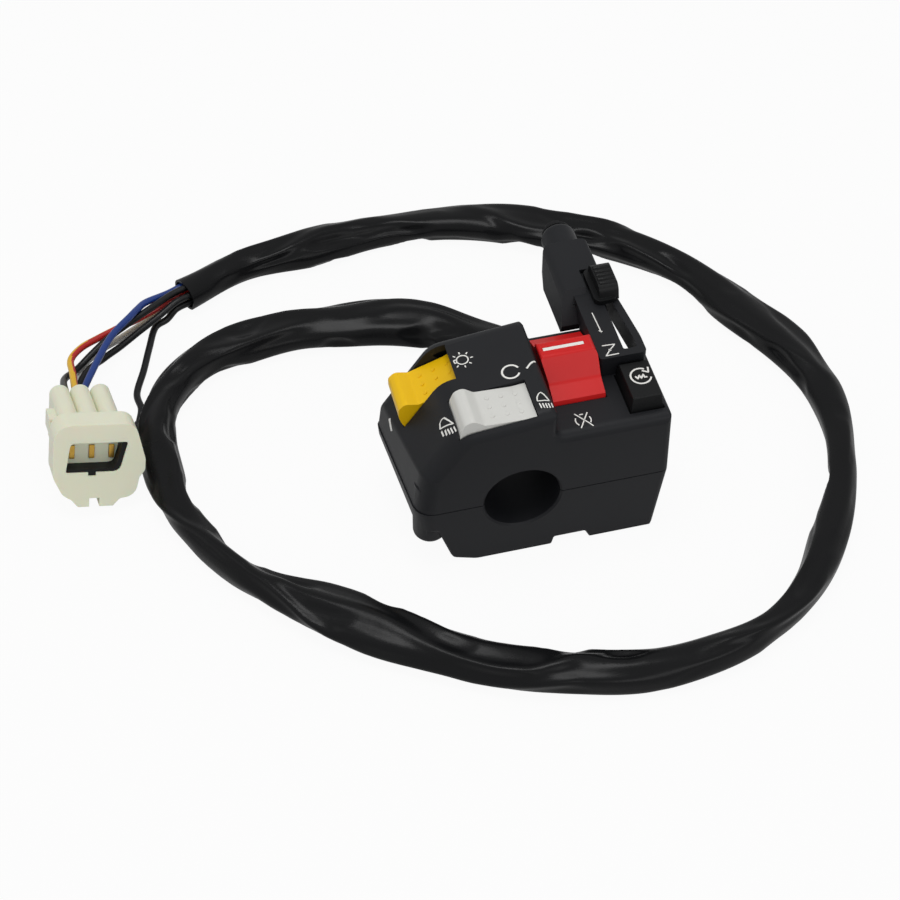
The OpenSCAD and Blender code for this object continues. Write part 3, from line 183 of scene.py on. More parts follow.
FINISHES = {
    "shell": moulded_finish("shell_plastic", "#191a1d", "#1d1e21", (0.42, 0.54), 0.02, Specular_IOR_Level=0.2),
    "black_button": moulded_finish("button_plastic", "#0c0d0e", "#111213", (0.38, 0.5), 0.015,
                                   Specular_IOR_Level=0.2),
    "signal_yellow": moulded_finish("yellow_plastic", "#f5c50a", "#f0be06", (0.32, 0.42), 0.008,
                                    Specular_IOR_Level=0.3),
    "pale_grey": moulded_finish("pale_plastic", "#d9d9d5", "#d1d1cc", (0.34, 0.45), 0.008),
    "stop_red": moulded_finish("red_plastic", "#d01f1f", "#c8191a", (0.32, 0.42), 0.008, Specular_IOR_Level=0.25),
    "stripe_white": moulded_finish("stripe_paint", "#efeeea", "#e6e5e0", (0.4, 0.5), 0.005),
    "board": moulded_finish("board_laminate", "#7a5230", "#6b4526", (0.5, 0.65), 0.02, 1200.0),
    "grommet_rubber": moulded_finish("grommet_rubber", "#121213", "#18181a", (0.6, 0.75), 0.03, 1500.0,
                                     Specular_IOR_Level=0.2),
    "nylon_ivory": moulded_finish("natural_nylon", "#eeeed8", "#e6e6cc", (0.3, 0.42), 0.006,
                                  Subsurface_Weight=0.25, Subsurface_Scale=0.004),
    # The keeper's near-black is painted shade: the plate sits close to the plug's mouth and stands in for the shade
    # deep in the slot behind it.
    "keeper_black": moulded_finish("keeper_painted_shade", "#101112", "#161718", (0.45, 0.6), 0.01, Specular_IOR_Level=0.2),
    "wire_blue": moulded_finish("blue_vinyl", "#143a86", "#113277", (0.28, 0.38), 0.004),
    "wire_white": moulded_finish("white_vinyl", "#dcdcda", "#d0d0cc", (0.3, 0.4), 0.004),
    "wire_black": moulded_finish("black_vinyl", "#0e0f11", "#141517", (0.28, 0.4), 0.004, Specular_IOR_Level=0.3),
}
print("moulded finishes", len(FINISHES))

# %% [markdown]
# Plated steel and brass are brushed or rolled: a stretched noise runs along the piece and varies the roughness
# and the tint. Only small fasteners, pins and contacts use them.

# %% Metal finishes
def metal_finish(name, base, tone, rough):
    material, tree, shader = new_finish(name, Metallic=1.0)
    place = add_node(tree, "ShaderNodeTexCoord")
    stretch = add_node(tree, "ShaderNodeMapping", Scale=(1.0, 1.0, 0.12))
    streak = add_node(tree, "ShaderNodeTexNoise", Scale=1800.0, Detail=3.0)
    mix = add_node(tree, "ShaderNodeMix", data_type="RGBA", A=linear(base), B=linear(tone))
    spread = add_node(tree, "ShaderNodeMapRange", **{"To Min": rough[0], "To Max": rough[1]})
    tree.links.new(place.outputs["Object"], stretch.inputs["Vector"])
    tree.links.new(stretch.outputs["Vector"], streak.inputs["Vector"])
    tree.links.new(streak.outputs["Fac"], mix.inputs["Factor"])
    tree.links.new(streak.outputs["Fac"], spread.inputs["Value"])
    tree.links.new(mix.outputs["Result"], shader.inputs["Base Color"])
    tree.links.new(spread.outputs["Result"], shader.inputs["Roughness"])
    return material


FINISHES["steel"] = metal_finish("zinc_steel", "#b9bcc0", "#a9adb3", (0.25, 0.42))
FINISHES["brass"] = metal_finish("rolled_brass", "#d3ad55", "#c09540", (0.22, 0.38))
print("metal finishes ready")

# %% [markdown]
# The stage is a pale floor that looks white to the camera but still takes the object's shadow, a white surround,
# and soft studio lamps. The lamps stay at a plain level, so that a colour renders about as it is written.

# %% Floor, surround and lamps
def seen_directly(tree, glossy_share):
    """1 for rays from the camera or through glass, and a share of that for reflections."""
    path = add_node(tree, "ShaderNodeLightPath")
    share = add_node(tree, "ShaderNodeMath", operation="MULTIPLY")
    share.inputs[1].default_value = glossy_share
    first = add_node(tree, "ShaderNodeMath", operation="ADD")
    total = add_node(tree, "ShaderNodeMath", operation="ADD", use_clamp=True)
    tree.links.new(path.outputs["Is Glossy Ray"], share.inputs[0])
    tree.links.new(path.outputs["Is Camera Ray"], first.inputs[0])
    tree.links.new(share.outputs["Value"], first.inputs[1])
    tree.links.new(first.outputs["Value"], total.inputs[0])
    tree.links.new(path.outputs["Is Transmission Ray"], total.inputs[1])
    return total.outputs["Value"]


FLOOR_HALF = 3.0
FLOOR_DROP = 0.05 * MM
FLOOR_GREY = 0.66
FLOOR_WHITE_SHARE = 0.94
FLOOR_GLOSSY_SHARE, SURROUND_GLOSSY_SHARE = 0.35, 0.25
AMBIENT = 0.5
floor_mesh = bpy.data.meshes.new("pale_floor")
floor_mesh.from_pydata([(x * FLOOR_HALF, y * FLOOR_HALF, FLOOR_Z - FLOOR_DROP)
                        for x, y in ((-1, -1), (1, -1), (1, 1), (-1, 1))], [], [(0, 1, 2, 3)])
floor = bpy.data.objects.new("pale_floor", floor_mesh)
scene.collection.objects.link(floor)
floor_finish, tree, shader = new_finish("floor_paper", Base_Color=(FLOOR_GREY, FLOOR_GREY, FLOOR_GREY, 1),
                                        Roughness=0.9, Specular_IOR_Level=0.1)
white = add_node(tree, "ShaderNodeEmission", Strength=1.0)
blend = add_node(tree, "ShaderNodeMixShader")
fade = add_node(tree, "ShaderNodeMath", operation="MULTIPLY")
fade.inputs[1].default_value = FLOOR_WHITE_SHARE
tree.links.new(seen_directly(tree, FLOOR_GLOSSY_SHARE), fade.inputs[0])
tree.links.new(fade.outputs["Value"], blend.inputs["Fac"])
tree.links.new(shader.outputs["BSDF"], blend.inputs[1])
tree.links.new(white.outputs["Emission"], blend.inputs[2])
tree.links.new(blend.outputs["Shader"], tree.nodes["Material Output"].inputs["Surface"])
floor.data.materials.append(floor_finish)

world = bpy.data.worlds.new("white_surround")
scene.world = world
world.use_nodes = True
tree = world.node_tree
dim = tree.nodes["Background"]
dim.inputs["Color"].default_value = (1, 1, 1, 1)
dim.inputs["Strength"].default_value = AMBIENT
bright = add_node(tree, "ShaderNodeBackground", Color=(1, 1, 1, 1), Strength=1.0)
blend = add_node(tree, "ShaderNodeMixShader")
tree.links.new(seen_directly(tree, SURROUND_GLOSSY_SHARE), blend.inputs["Fac"])
tree.links.new(dim.outputs["Background"], blend.inputs[1])
tree.links.new(bright.outputs["Background"], blend.inputs[2])
tree.links.new(blend.outputs["Shader"], tree.nodes["World Output"].inputs["Surface"])


def soft_lamp(name, place, aim, size, power):
    data = bpy.data.lights.new(name, "AREA")
    data.shape = "RECTANGLE"
    data.size, data.size_y = size
    data.energy = power
    lamp = bpy.data.objects.new(name, data)
    lamp.location = place
    lamp.rotation_euler = (Vector(aim) - Vector(place)).to_track_quat("-Z", "Y").to_euler()
    scene.collection.objects.link(lamp)


soft_lamp("top_softbox", (-0.05, 0, 0.85), (0, 0.02, 0), (0.45, 0.30), 2.6)
soft_lamp("left_softbox", (-0.75, -0.05, 0.55), (0, 0, 0), (0.30, 0.60), 0.35)
soft_lamp("front_softbox", (0.25, -0.75, 0.45), (0, 0, 0), (0.60, 0.30), 1.1)
print("stage and lamps ready")

# %% [markdown]
# New pieces are plain vertex and face lists. One helper turns them into an object with the finish of its slot,
# smooths the normals, keeps the edges that are meant to be sharp and puts it on its body.

# %% Piece helpers
def new_piece(name, verts, faces, body, slot, smooth_angle=40.0, finish=None):
    mesh = bpy.data.meshes.new(name)
    mesh.from_pydata([tuple(v) for v in verts], [], faces)
    mesh.validate()
    fix = bmesh.new()
    fix.from_mesh(mesh)
    bmesh.ops.recalc_face_normals(fix, faces=fix.faces)
    fix.to_mesh(mesh)
    fix.free()
    mesh.shade_smooth()
    mesh.set_sharp_from_angle(angle=math.radians(smooth_angle))
    piece = bpy.data.objects.new(name, mesh)
    scene.collection.objects.link(piece)
    mesh.materials.append(finish or FINISHES[slot])
    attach(piece, body)
    return piece


def smooth_line(points, step):
    """Points about a step apart on the smooth curve through the given ones, of any number of coordinates."""
    points = [Vector(p) for p in points]
    ends = [2 * points[0] - points[1]] + points + [2 * points[-1] - points[-2]]
    fine = []
    for a, b, c, d in zip(ends, ends[1:], ends[2:], ends[3:]):
        count = max(2, round((c - b).length / step))
        for k in range(count):
            t = k / count
            fine.append(0.5 * (2 * b + (c - a) * t + (2 * a - 5 * b + 4 * c - d) * t ** 2
                               + (3 * b - a - 3 * c + d) * t ** 3))
    return fine + [points[-1]]


def line_length(line):
    return sum((b - a).length for a, b in zip(line, line[1:]))


def line_frames(line):
    """Direction, sideways and upward vectors at each point of a line, with sideways kept level."""
    frames = []
    for i in range(len(line)):
        along = (line[min(i + 1, len(line) - 1)] - line[max(i - 1, 0)]).normalized()
        side = along.cross(Vector((0, 0, 1))).normalized()
        frames.append((along, side, side.cross(along)))
    return frames


def ring_faces(rings, sides, close_ends=True):
    faces = [(k * sides + i, k * sides + (i + 1) % sides, (k + 1) * sides + (i + 1) % sides, (k + 1) * sides + i)
             for k in range(rings - 1) for i in range(sides)]
    if close_ends:
        faces += [tuple(range(sides))[::-1], tuple(range((rings - 1) * sides, rings * sides))]
    return faces


print("piece helpers ready")

# %% [markdown]
# The harness sleeve is a thin vinyl tube, wider than the wires in it, so it lies half flat and folds at every
# bend. Each route point, in millimetres, carries the width that the sleeve has there as a fourth number, so one
# smooth curve gives both. A curve object with a bevel would be quicker, but it couldn't be folded point by point.

# %% Sleeve route
SLEEVE_REST = -18.6
SLEEVE_ROUTE = [
    (19.2, 29.6, -10.2, 11), (19.2, 34.5, -10.2, 11), (19, 43, -12, 11), (17, 51, -15, 12), (12, 58, -17, 13),
    (4, 65, SLEEVE_REST, 14), (-7, 72, SLEEVE_REST, 15.5), (-19, 77, SLEEVE_REST, 16.5),
    (-32, 79, SLEEVE_REST, 16), (-47, 80, SLEEVE_REST, 14), (-62, 79, SLEEVE_REST, 14.5),
    (-75.5, 75, SLEEVE_REST, 12.5), (-86, 67, SLEEVE_REST, 11.5), (-93, 56.5, SLEEVE_REST, 10),
    (-96, 44, SLEEVE_REST, 10.5), (-96, 30, SLEEVE_REST, 11), (-94, 14, SLEEVE_REST, 8.5),
    (-87, -2, SLEEVE_REST, 8.2), (-76.5, -17.5, SLEEVE_REST, 8.6), (-60.5, -31, SLEEVE_REST, 14.5),
    (-43, -45, SLEEVE_REST, 14.8), (-23, -58, SLEEVE_REST, 12.6), (-2, -67, SLEEVE_REST, 13),
    (20, -72.5, SLEEVE_REST, 12.2), (41, -72, SLEEVE_REST, 10.4), (59.5, -67, SLEEVE_REST, 8),
    (75.5, -55.5, SLEEVE_REST, 9.4), (87.5, -40, SLEEVE_REST, 11.4), (98, -22.5, SLEEVE_REST, 8.6),
    (104.5, -3, SLEEVE_REST, 9.4), (106, 16, SLEEVE_REST, 11), (102, 36, SLEEVE_REST, 13.6),
    (92, 56.5, SLEEVE_REST, 13), (80, 78, SLEEVE_REST, 9.4), (61, 96, SLEEVE_REST, 12),
    (38, 108, SLEEVE_REST, 15), (14, 117, SLEEVE_REST, 12.2), (-10, 119, SLEEVE_REST, 10),
    (-34, 117, SLEEVE_REST, 13), (-57.5, 113, SLEEVE_REST, 8.2), (-78, 104, -17.8, 11),
]
SLEEVE_STEP = 1.0
sleeve_points = smooth_line(SLEEVE_ROUTE, SLEEVE_STEP)
sleeve_line = [p.to_3d() for p in sleeve_points]
sleeve_long = line_length(sleeve_line)
print("sleeve", round(sleeve_long), "mm on", len(sleeve_line), "points")

# %% [markdown]
# The folds move the points of a fine tube out and in. A broad wave gives the flat and full stretches, three ridges
# wander round the sleeve as creases and fade in and out, and dents press in, mostly on the inner side of the loop.
# Noise decides where, so the folds never repeat, and they die out at both ends, where the vinyl is held round.
# The mouth turns back into the tube, so that the wall shows its thickness.

# %% Sleeve folds
SLEEVE_SIDES = 60
SLEEVE_HIGH = 9.3
SLEEVE_SQUARENESS = 2.4
SLEEVE_SKIN = 0.7
SLEEVE_MOUTH = 9
WAVE_LONG, WAVE_DEEP = 30.0, 0.9
RIDGE_ANGLES = [math.radians(a) for a in (40, 95, 150)]
RIDGE_LONG, RIDGE_WANDER, RIDGE_HIGH, RIDGE_WIDE = 42.0, 1.5, 1.1, 0.26
RIDGE_SHARE, RIDGE_CONTRAST = 0.45, 1.8
DENT_LONG, DENT_FROM, DENT_DEEP = 15.0, 0.12, 3.2
DENT_OUTER_SHARE = 0.35
WAVE_AROUND, DENT_AROUND = 1.1, 0.9
DENT_SEED = 30
DRIFT_SEED, FADE_SEED = (7.3, 2.5), (5.1, 8.5)
FLOOR_CLEAR = 0.15
CALM_START, CALM_END = 25.0, 22.0


def rounded_power(value, power):
    return math.copysign(abs(value) ** power, value)


def clamped(value):
    return max(0.0, min(1.0, value))


def fold_depth(run, angle):
    """How far the vinyl stands out (or in, where negative) at a distance along the sleeve and an angle round it."""
    around = Vector((math.cos(angle), math.sin(angle)))
    depth = WAVE_DEEP * noise.noise(Vector((run / WAVE_LONG, *(WAVE_AROUND * around))))
    for k, middle in enumerate(RIDGE_ANGLES):
        drift = noise.noise(Vector((run / RIDGE_LONG, DRIFT_SEED[0] * k, DRIFT_SEED[1])))
        fade_at = Vector((run / RIDGE_LONG, FADE_SEED[0] * k, FADE_SEED[1]))
        presence = clamped(RIDGE_SHARE + RIDGE_CONTRAST * noise.noise(fade_at))
        turn = math.remainder(angle - middle - RIDGE_WANDER * drift, 2 * math.pi)
        depth += RIDGE_HIGH * presence * math.exp(-(turn / RIDGE_WIDE) ** 2)
    dent = noise.noise(Vector((run / DENT_LONG + DENT_SEED, *(DENT_AROUND * around))))
    inner = DENT_OUTER_SHARE + (1 - DENT_OUTER_SHARE) * clamped(0.5 - 0.8 * around.x)
    depth -= DENT_DEEP * max(0.0, dent - DENT_FROM) * inner
    return depth * clamped(min(run / CALM_START, (sleeve_long - run) / CALM_END))


def sleeve_ring(centre, axes, width, run, inset, folds=True):
    _, side, up = axes
    ring = []
    for k in range(SLEEVE_SIDES):
        angle = 2 * math.pi * k / SLEEVE_SIDES
        out = fold_depth(run, angle) if folds else 0.0
        across = (width / 2 - inset + out) * rounded_power(math.cos(angle), 2 / SLEEVE_SQUARENESS)
        rise = (SLEEVE_HIGH / 2 - inset + out) * rounded_power(math.sin(angle), 2 / SLEEVE_SQUARENESS)
        point = centre + side * across + up * rise
        point.z = max(point.z, FLOOR_Z / MM + FLOOR_CLEAR)
        ring.append(point * MM)
    return ring


sleeve_verts = []
run = 0.0
frames = line_frames(sleeve_line)
for i, point in enumerate(sleeve_points):
    if i:
        run += (sleeve_line[i] - sleeve_line[i - 1]).length
    sleeve_verts += sleeve_ring(sleeve_line[i], frames[i], point.w, run, 0.0)
for back in range(SLEEVE_MOUTH):
    i = len(sleeve_line) - 1 - back
    sleeve_verts += sleeve_ring(sleeve_line[i], frames[i], sleeve_points[i].w, sleeve_long, SLEEVE_SKIN, False)
sleeve_rings = len(sleeve_line) + SLEEVE_MOUTH
print("sleeve rings", sleeve_rings)

# %% [markdown]
# The vinyl is black and satin. Its reflections come from the lamps, and a fine matt bloom, wider than the creases,
# keeps the highlights from being one even line.

# %% Sleeve piece
vinyl, tree, shader = new_finish("sleeve_vinyl", Base_Color=(0.006, 0.0062, 0.0068, 1), Specular_IOR_Level=0.15)
place = add_node(tree, "ShaderNodeTexCoord")
bloom = add_node(tree, "ShaderNodeTexNoise", Scale=55.0, Detail=4.0)
dull = add_node(tree, "ShaderNodeMapRange", **{"To Min": 0.2, "To Max": 0.34})
fine = add_node(tree, "ShaderNodeTexNoise", Scale=420.0, Detail=2.0)
relief = add_node(tree, "ShaderNodeBump", Strength=0.6, Distance=0.05 * MM)
tree.links.new(place.outputs["Object"], bloom.inputs["Vector"])
tree.links.new(place.outputs["Object"], fine.inputs["Vector"])
tree.links.new(bloom.outputs["Fac"], dull.inputs["Value"])
tree.links.new(dull.outputs["Result"], shader.inputs["Roughness"])
tree.links.new(fine.outputs["Fac"], relief.inputs["Height"])
tree.links.new(relief.outputs["Normal"], shader.inputs["Normal"])
FINISHES["sleeve_vinyl"] = vinyl
sleeve = new_piece("sleeve", sleeve_verts, ring_faces(sleeve_rings, SLEEVE_SIDES), "housing", "sleeve_vinyl", 70)
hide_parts("harness_sleeve")
print("sleeve faces", len(sleeve.data.polygons))

# %% [markdown]
# Six wires leave the sleeve. Five run to the plug and the sixth, the ground wire, ends in a bullet terminal. Each is
# one smooth curve through the points of its route, which starts inside the sleeve and ends in the plug. The plug lies
# tilted, so its cavities are given in its own frame and turned with it.

# %% Wire routes
WIRE_D = 2.2
WIRE_RING = 2.9
SLEEVE_GRIP, PLUG_LEAD, BULLET_LEAD, ENTRY_GAP = 5, 4, 6, 0.1
SLEEVE_END = sleeve_line[-1]
SLEEVE_OUT = (Vector(SLEEVE_ROUTE[-1][:2]) - Vector(SLEEVE_ROUTE[-2][:2])).to_3d().normalized()
SLEEVE_BACK = SLEEVE_OUT.cross(Vector((0, 0, 1)))
PLUG_AT = Vector((-117.9, 32, -22.52))
PLUG_TURN, PLUG_TILT, PLUG_ROLL = math.radians(4.5), math.radians(-20), math.radians(13)
PLUG_FRAME = (Matrix.Translation(PLUG_AT) @ Matrix.Rotation(PLUG_TURN, 4, "Z")
              @ Matrix.Rotation(PLUG_TILT, 4, "X") @ Matrix.Rotation(PLUG_ROLL, 4, "Y"))
WIRE_END_LEN = 22
CAVITIES = (-5, -2, 0.3, 2.2)
CAVITY_LOW, CAVITY_HIGH = 11.7, 21.3


def from_sleeve(back, rise):
    """Points where a wire leaves the sleeve's mouth, from inside it, at its place among the other wires."""
    place = SLEEVE_END + WIRE_RING * (back * SLEEVE_BACK + Vector((0, 0, rise)))
    return [place + out * SLEEVE_OUT for out in (-SLEEVE_GRIP, ENTRY_GAP, SLEEVE_GRIP)]


def into_plug(column, row):
    """Points where a wire goes into the plug, in one of the cavities of its wire end."""
    return [PLUG_FRAME @ Vector((CAVITIES[column], WIRE_END_LEN + out, row)) for out in (PLUG_LEAD, ENTRY_GAP)]


COS30, SIN30 = math.cos(math.pi / 6), math.sin(math.pi / 6)
BULLET_TIP = Vector((-103.3, 44.6, -21.2))
BULLET_LEN = 11
BULLET_TURN = math.radians(15)
BULLET_OUT = Vector((math.sin(BULLET_TURN), math.cos(BULLET_TURN), 0))
WIRE_ROUTES = {
    "blue": (from_sleeve(COS30, SIN30) + [(-90.7, 100.2, -14.5), (-94, 96.2, -13.1), (-96.9, 92.3, -12.1),
             (-103, 86, -12), (-107.8, 78.6, -12.2)] + into_plug(2, CAVITY_HIGH)),
    "yellow": (from_sleeve(0, 0) + [(-88.5, 99.8, -18.2), (-94.5, 97.6, -18.8), (-100.8, 94, -17.6),
               (-107.9, 90.3, -17), (-113.5, 86.8, -16.4), (-117.2, 81.6, -15.6), (-117.4, 74, -13.8)]
               + into_plug(1, CAVITY_HIGH)),
    "white": (from_sleeve(0, -1) + [(-88.4, 100.9, -21.4), (-93.8, 98.2, -22.3), (-101.6, 93.6, -22.3),
              (-108.6, 89.6, -22.3), (-114.6, 83.6, -22.3), (-116, 76, -22.3)] + into_plug(3, CAVITY_LOW)),
    "left_black": (from_sleeve(0, 1) + [(-89.6, 97.6, -14.9), (-96.8, 93.5, -15.4), (-103.9, 89.5, -16.4),
                   (-110.5, 85.4, -18.4), (-116, 81, -19.6), (-120.3, 74.5, -16.5)]
                   + into_plug(0, CAVITY_HIGH)),
    "right_black": (from_sleeve(-COS30, SIN30) + [(-88, 96.4, -18.2), (-94.7, 92.4, -19.2), (-101.7, 87.8, -20),
                    (-107, 84.4, -20.2), (-114, 78, -19.7)] + into_plug(0, CAVITY_LOW)),
    "ground": (from_sleeve(-COS30, -SIN30) + [(-85, 98.2, -21.6), (-89.2, 96, -22.2), (-92.4, 87.7, -22.3),
               (-95.6, 78.3, -22.3), (-99.2, 68.7, -22.3)]
               + [BULLET_TIP + (BULLET_LEN + out) * BULLET_OUT for out in (BULLET_LEAD, ENTRY_GAP)]),
}
WIRE_SLOTS = {"blue": "wire_blue", "yellow": "wire_yellow", "white": "wire_white", "left_black": "wire_black",
              "right_black": "wire_black", "ground": "wire_black"}
print("wires", ", ".join(WIRE_ROUTES))

# %% [markdown]
# Every wire is the same round tube, so one loop makes them all. The tracer on the yellow wire is a second vinyl: the
# faces inside a band of angles get its finish, and the band turns slowly along the wire.

# %% Wire pieces
WIRE_SIDES = 16
WIRE_STEP = 0.8
TRACER_FROM, TRACER_TO, TRACER_PITCH = -0.5, 2.6, 150.0
FINISHES["wire_yellow"] = moulded_finish("yellow_vinyl", "#e8b81c", "#dda90f", (0.28, 0.38), 0.004)
tracer_finish = moulded_finish("tracer_vinyl", "#c22620", "#b21f1a", (0.28, 0.38), 0.004)
wires = {}
for name, route in WIRE_ROUTES.items():
    line = smooth_line(route, WIRE_STEP)
    verts = []
    for point, (_, side, up) in zip(line, line_frames(line)):
        for k in range(WIRE_SIDES):
            angle = 2 * math.pi * k / WIRE_SIDES
            verts.append((point + WIRE_D / 2 * (math.cos(angle) * side + math.sin(angle) * up)) * MM)
    slot = WIRE_SLOTS[name]
    wires[name] = new_piece(f"{name}_wire_tube", verts, ring_faces(len(line), WIRE_SIDES), "housing", slot, 60)
    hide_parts(f"{name}_wire")
    print(name, round(line_length(line), 1), "mm")
wires["yellow"].data.materials.append(tracer_finish)
for face in wires["yellow"].data.polygons[:-2]:
    ring, k = divmod(face.index, WIRE_SIDES)
    angle = (2 * math.pi * k / WIRE_SIDES - ring * WIRE_STEP / TRACER_PITCH * 2 * math.pi) % (2 * math.pi)
    if TRACER_FROM % (2 * math.pi) < angle or angle < TRACER_TO:
        face.material_index = 1

# %% [markdown]
# The sleeve is open at its far end, where the wires carry on; each wire is a short cord from there to the plug or to
# its bullet.

print("cords declared", 1 + len(wires))

# %% [markdown]
# The control signs are printed in off-white ink. Each is drawn as strokes seen from above, in millimetres, and every
# stroke is dropped straight onto the piece below it, so that the print follows whatever slope is there. A painted
# picture would do the same on one flat face; strokes stay sharp at any distance and need no image.

# %% Printed signs
INK_WIDE, INK_LIFT, INK_STEP = 0.55, 0.05, 0.4
DROP_FROM = 80


def arc(centre, radius, start, end, steps=32):
    turns = [math.radians(start + (end - start) * k / steps) for k in range(steps + 1)]
    return [(centre[0] + radius * math.cos(t), centre[1] + radius * math.sin(t)) for t in turns]


def spokes(centre, inner, outer, angles):
    return [[(centre[0] + r * math.cos(math.radians(a)), centre[1] + r * math.sin(math.radians(a)))
             for r in (inner, outer)] for a in angles]


def drop_onto(name, point, from_left):
    """The place on a solid, straight below a point or straight right of it, and how far the ink stands out there."""
    start = Vector((-DROP_FROM, *point)) if from_left else Vector((*point, DROP_FROM))
    way = Vector((1, 0, 0)) if from_left else Vector((0, 0, -1))
    place, out, _, _ = surfaces[name].ray_cast(start * MM, way)
    return place, INK_LIFT * MM * (-out if out.dot(way) > 0 else out)


def ink_ribbon(name, stroke, wide, from_left):
    """The corners of a thin ribbon along a stroke, two above the surface and two below it at every step."""
    line = [Vector(stroke[0])]
    for a, b in zip(stroke, stroke[1:]):
        count = max(1, round((Vector(b) - Vector(a)).length / INK_STEP))
        line += [Vector(a).lerp(Vector(b), k / count) for k in range(1, count + 1)]
    verts = []
    for i, point in enumerate(line):
        along = (line[min(i + 1, len(line) - 1)] - line[max(i - 1, 0)]).normalized()
        across = wide / 2 * Vector((-along.y, along.x))
        left, left_out = drop_onto(name, point + across, from_left)
        right, right_out = drop_onto(name, point - across, from_left)
        verts += [left + left_out, right + right_out, right - right_out, left - left_out]
    return verts


BULB, BULB_R = (-10.6, 8.3), 1.65
STOP_RING, START_RING = (18.1, -15.3), (37.0, -7.5)
SIGNS = {
    "bulb_sign": ("upper_housing", [arc(BULB, BULB_R, 0, 360),
                  [(-12.1, 8.9), (-13.0, 8.8), (-12.9, 7.7), (-12.1, 7.8)]]
                  + spokes(BULB, 2.3, 3.1, (2, 50, 95, 135, 228, 274, 315))),
    "open_ring_sign": ("upper_housing", [arc((1.0, -0.7), 2.45, 20, 332)]),
    "curve_sign": ("upper_housing", [[(5.5, -1.0), (6.3, -0.2), (7.0, 0.45), (7.8, 0.9), (8.6, 1.1)]]),
    "low_beam_sign": ("upper_housing", [
        [(-21.7, -10.6), (-21.4, -9.0), (-20.8, -8.5), (-20.1, -8.8), (-19.6, -10.2), (-18.5, -12.9), (-21.7, -10.6)],
        [(-21.6, -11.7), (-21.5, -13.7)], [(-20.8, -12.5), (-20.8, -14.5)], [(-20.2, -13.0), (-20.0, -15.1)],
        [(-19.5, -13.5), (-19.3, -15.6)], [(-18.7, -13.8), (-18.5, -15.7)]]),
    "high_beam_sign": ("upper_housing", [
        [(5.0, -13.6), (5.3, -12.2), (6.1, -11.1), (6.7, -10.9), (7.3, -11.8), (8.2, -14.4), (5.0, -13.6)],
        [(5.3, -14.6), (5.5, -16.4)], [(6.1, -14.9), (6.3, -16.6)], [(6.9, -15.2), (7.0, -16.9)],
        [(7.6, -15.3), (7.8, -17.0)], [(8.5, -15.2), (8.6, -16.8)]]),
    "engine_off_sign": ("upper_housing", [[(16.3, -12.5), (20.3, -17.9)], [(20.0, -12.7), (16.8, -17.9)],
                        arc(STOP_RING, 2.2, 75, 105), arc(STOP_RING, 2.2, 150, 225), arc(STOP_RING, 2.2, 325, 385)]),
    "choke_sign": ("choke_housing", [[(29.2, 4.6), (32.9, 4.4), (30.9, 2.5), (29.2, 0.5), (33.0, 0.6)],
                   arc((30.9, 2.5), 0.25, 0, 360)]),
    "choke_arrow": ("choke_housing", [[(30.3, 18.0), (30.6, 9.9)], [(30.1, 10.7), (30.6, 9.9), (31.0, 10.2)]]),
    "start_sign": ("start_button", [arc(START_RING, 2.9, 55, 340), [(39.9, -4.6), (39.5, -6.6), (37.9, -5.6)],
                   [(35.4, -7.3), (35.9, -8.4), (36.6, -7.1), (36.9, -8.4), (37.8, -7.0), (37.9, -8.2),
                    (38.7, -8.2)]]),
    "position_dash": ("upper_housing", [[(10.3, 9.9), (9.4, 9.2), (8.3, 8.4), (7.4, 7.7)]]),
}
SEEN_FROM_LEFT = ("position_dash",)
SIGN_WIDTHS = {"bulb_sign": 0.36, "low_beam_sign": 0.34, "high_beam_sign": 0.34, "engine_off_sign": 0.34,
               "choke_arrow": 0.3, "choke_sign": 0.34, "start_sign": 0.5, "position_dash": 1.5}
SIGN_BODIES = {"upper_housing": "housing", "choke_housing": "housing", "start_button": "start"}
surfaces = {}
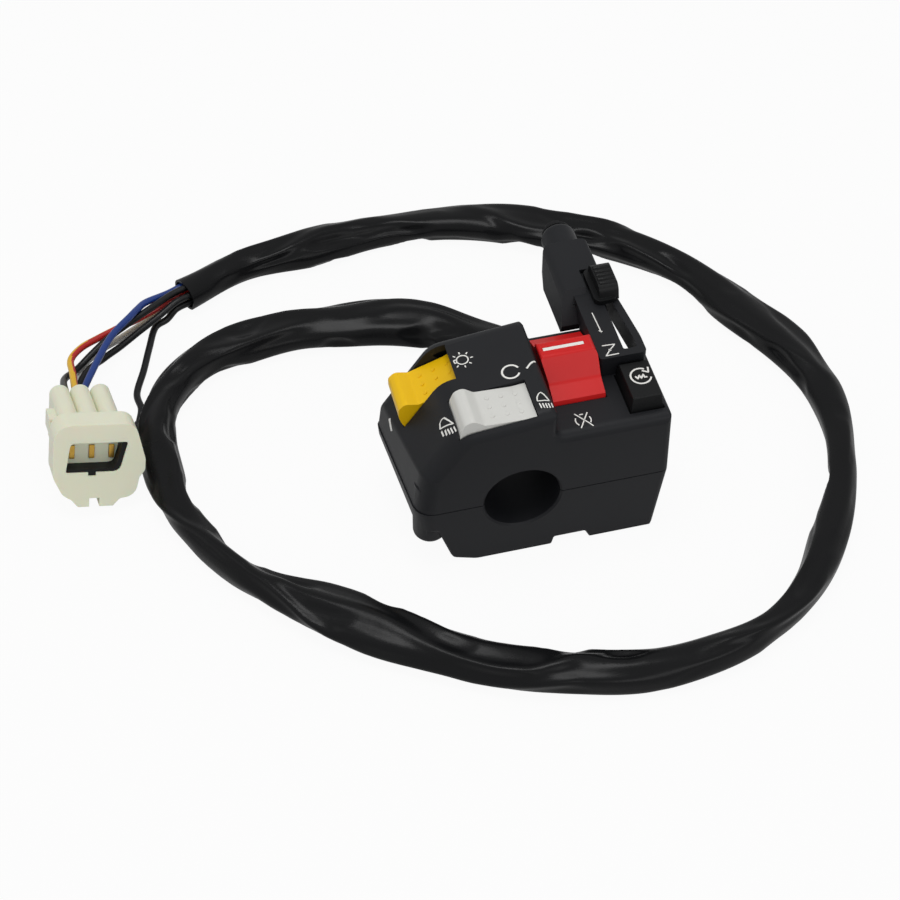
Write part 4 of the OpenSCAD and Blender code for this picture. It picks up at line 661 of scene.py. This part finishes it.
for name in SIGN_BODIES:
    piece = nodes[name]
    surfaces[name] = BVHTree.FromPolygons([piece.matrix_world @ v.co for v in piece.data.vertices],
                                          [tuple(p.vertices) for p in piece.data.polygons])
for sign, (name, strokes) in SIGNS.items():
    verts, faces = [], []
    for stroke in strokes:
        ribbon = ink_ribbon(name, stroke, SIGN_WIDTHS.get(sign, INK_WIDE), sign in SEEN_FROM_LEFT)
        faces += [tuple(len(verts) + i for i in face) for face in ring_faces(len(ribbon) // 4, 4)]
        verts += ribbon
    new_piece(sign, verts, faces, SIGN_BODIES[name], "stripe_white")
print("signs", len(SIGNS))

# %% [markdown]
# Most solids already have the right shape. They keep it, and only get their finish, merged corners, and a small
# rounding on every sharp edge, because no moulded or pressed edge is truly sharp.

# %% Finish the solids
EDGE_ROUND = {"shell": 0.4, "black_button": 0.5, "signal_yellow": 0.9, "pale_grey": 0.9, "stop_red": 0.8,
              "nylon_ivory": 0.8}
PLAIN_ROUND = 0.12
MERGE_WITHIN = 0.002
FLAT_WITHIN, SHARP_FROM = math.radians(0.5), math.radians(32)


def ease_edges(piece, width):
    """Merges the solid's split corners, joins its flat faces and rounds its sharp edges, as modifiers."""
    weld = piece.modifiers.new("merge_corners", "WELD")
    weld.merge_threshold = MERGE_WITHIN * MM
    flat = piece.modifiers.new("join_flats", "DECIMATE")
    flat.decimate_type = "DISSOLVE"
    flat.angle_limit = FLAT_WITHIN
    bevel = piece.modifiers.new("round_edges", "BEVEL")
    bevel.width = width * MM
    bevel.segments = 3
    bevel.limit_method = "ANGLE"
    bevel.angle_limit = SHARP_FROM
    bevel.harden_normals = True
    even = piece.modifiers.new("even_normals", "WEIGHTED_NORMAL")
    even.keep_sharp = True


slot_of = {s["node"]: s["material_slot"] for s in frame["record"]["subparts"]}
for name, piece in nodes.items():
    piece.data.materials.clear()
    piece.data.materials.append(FINISHES[slot_of[name]])
    if not piece.hide_render:
        piece.data.shade_smooth()
        ease_edges(piece, EDGE_ROUND.get(slot_of[name], PLAIN_ROUND))
print("solids finished", sum(not piece.hide_render for piece in nodes.values()))
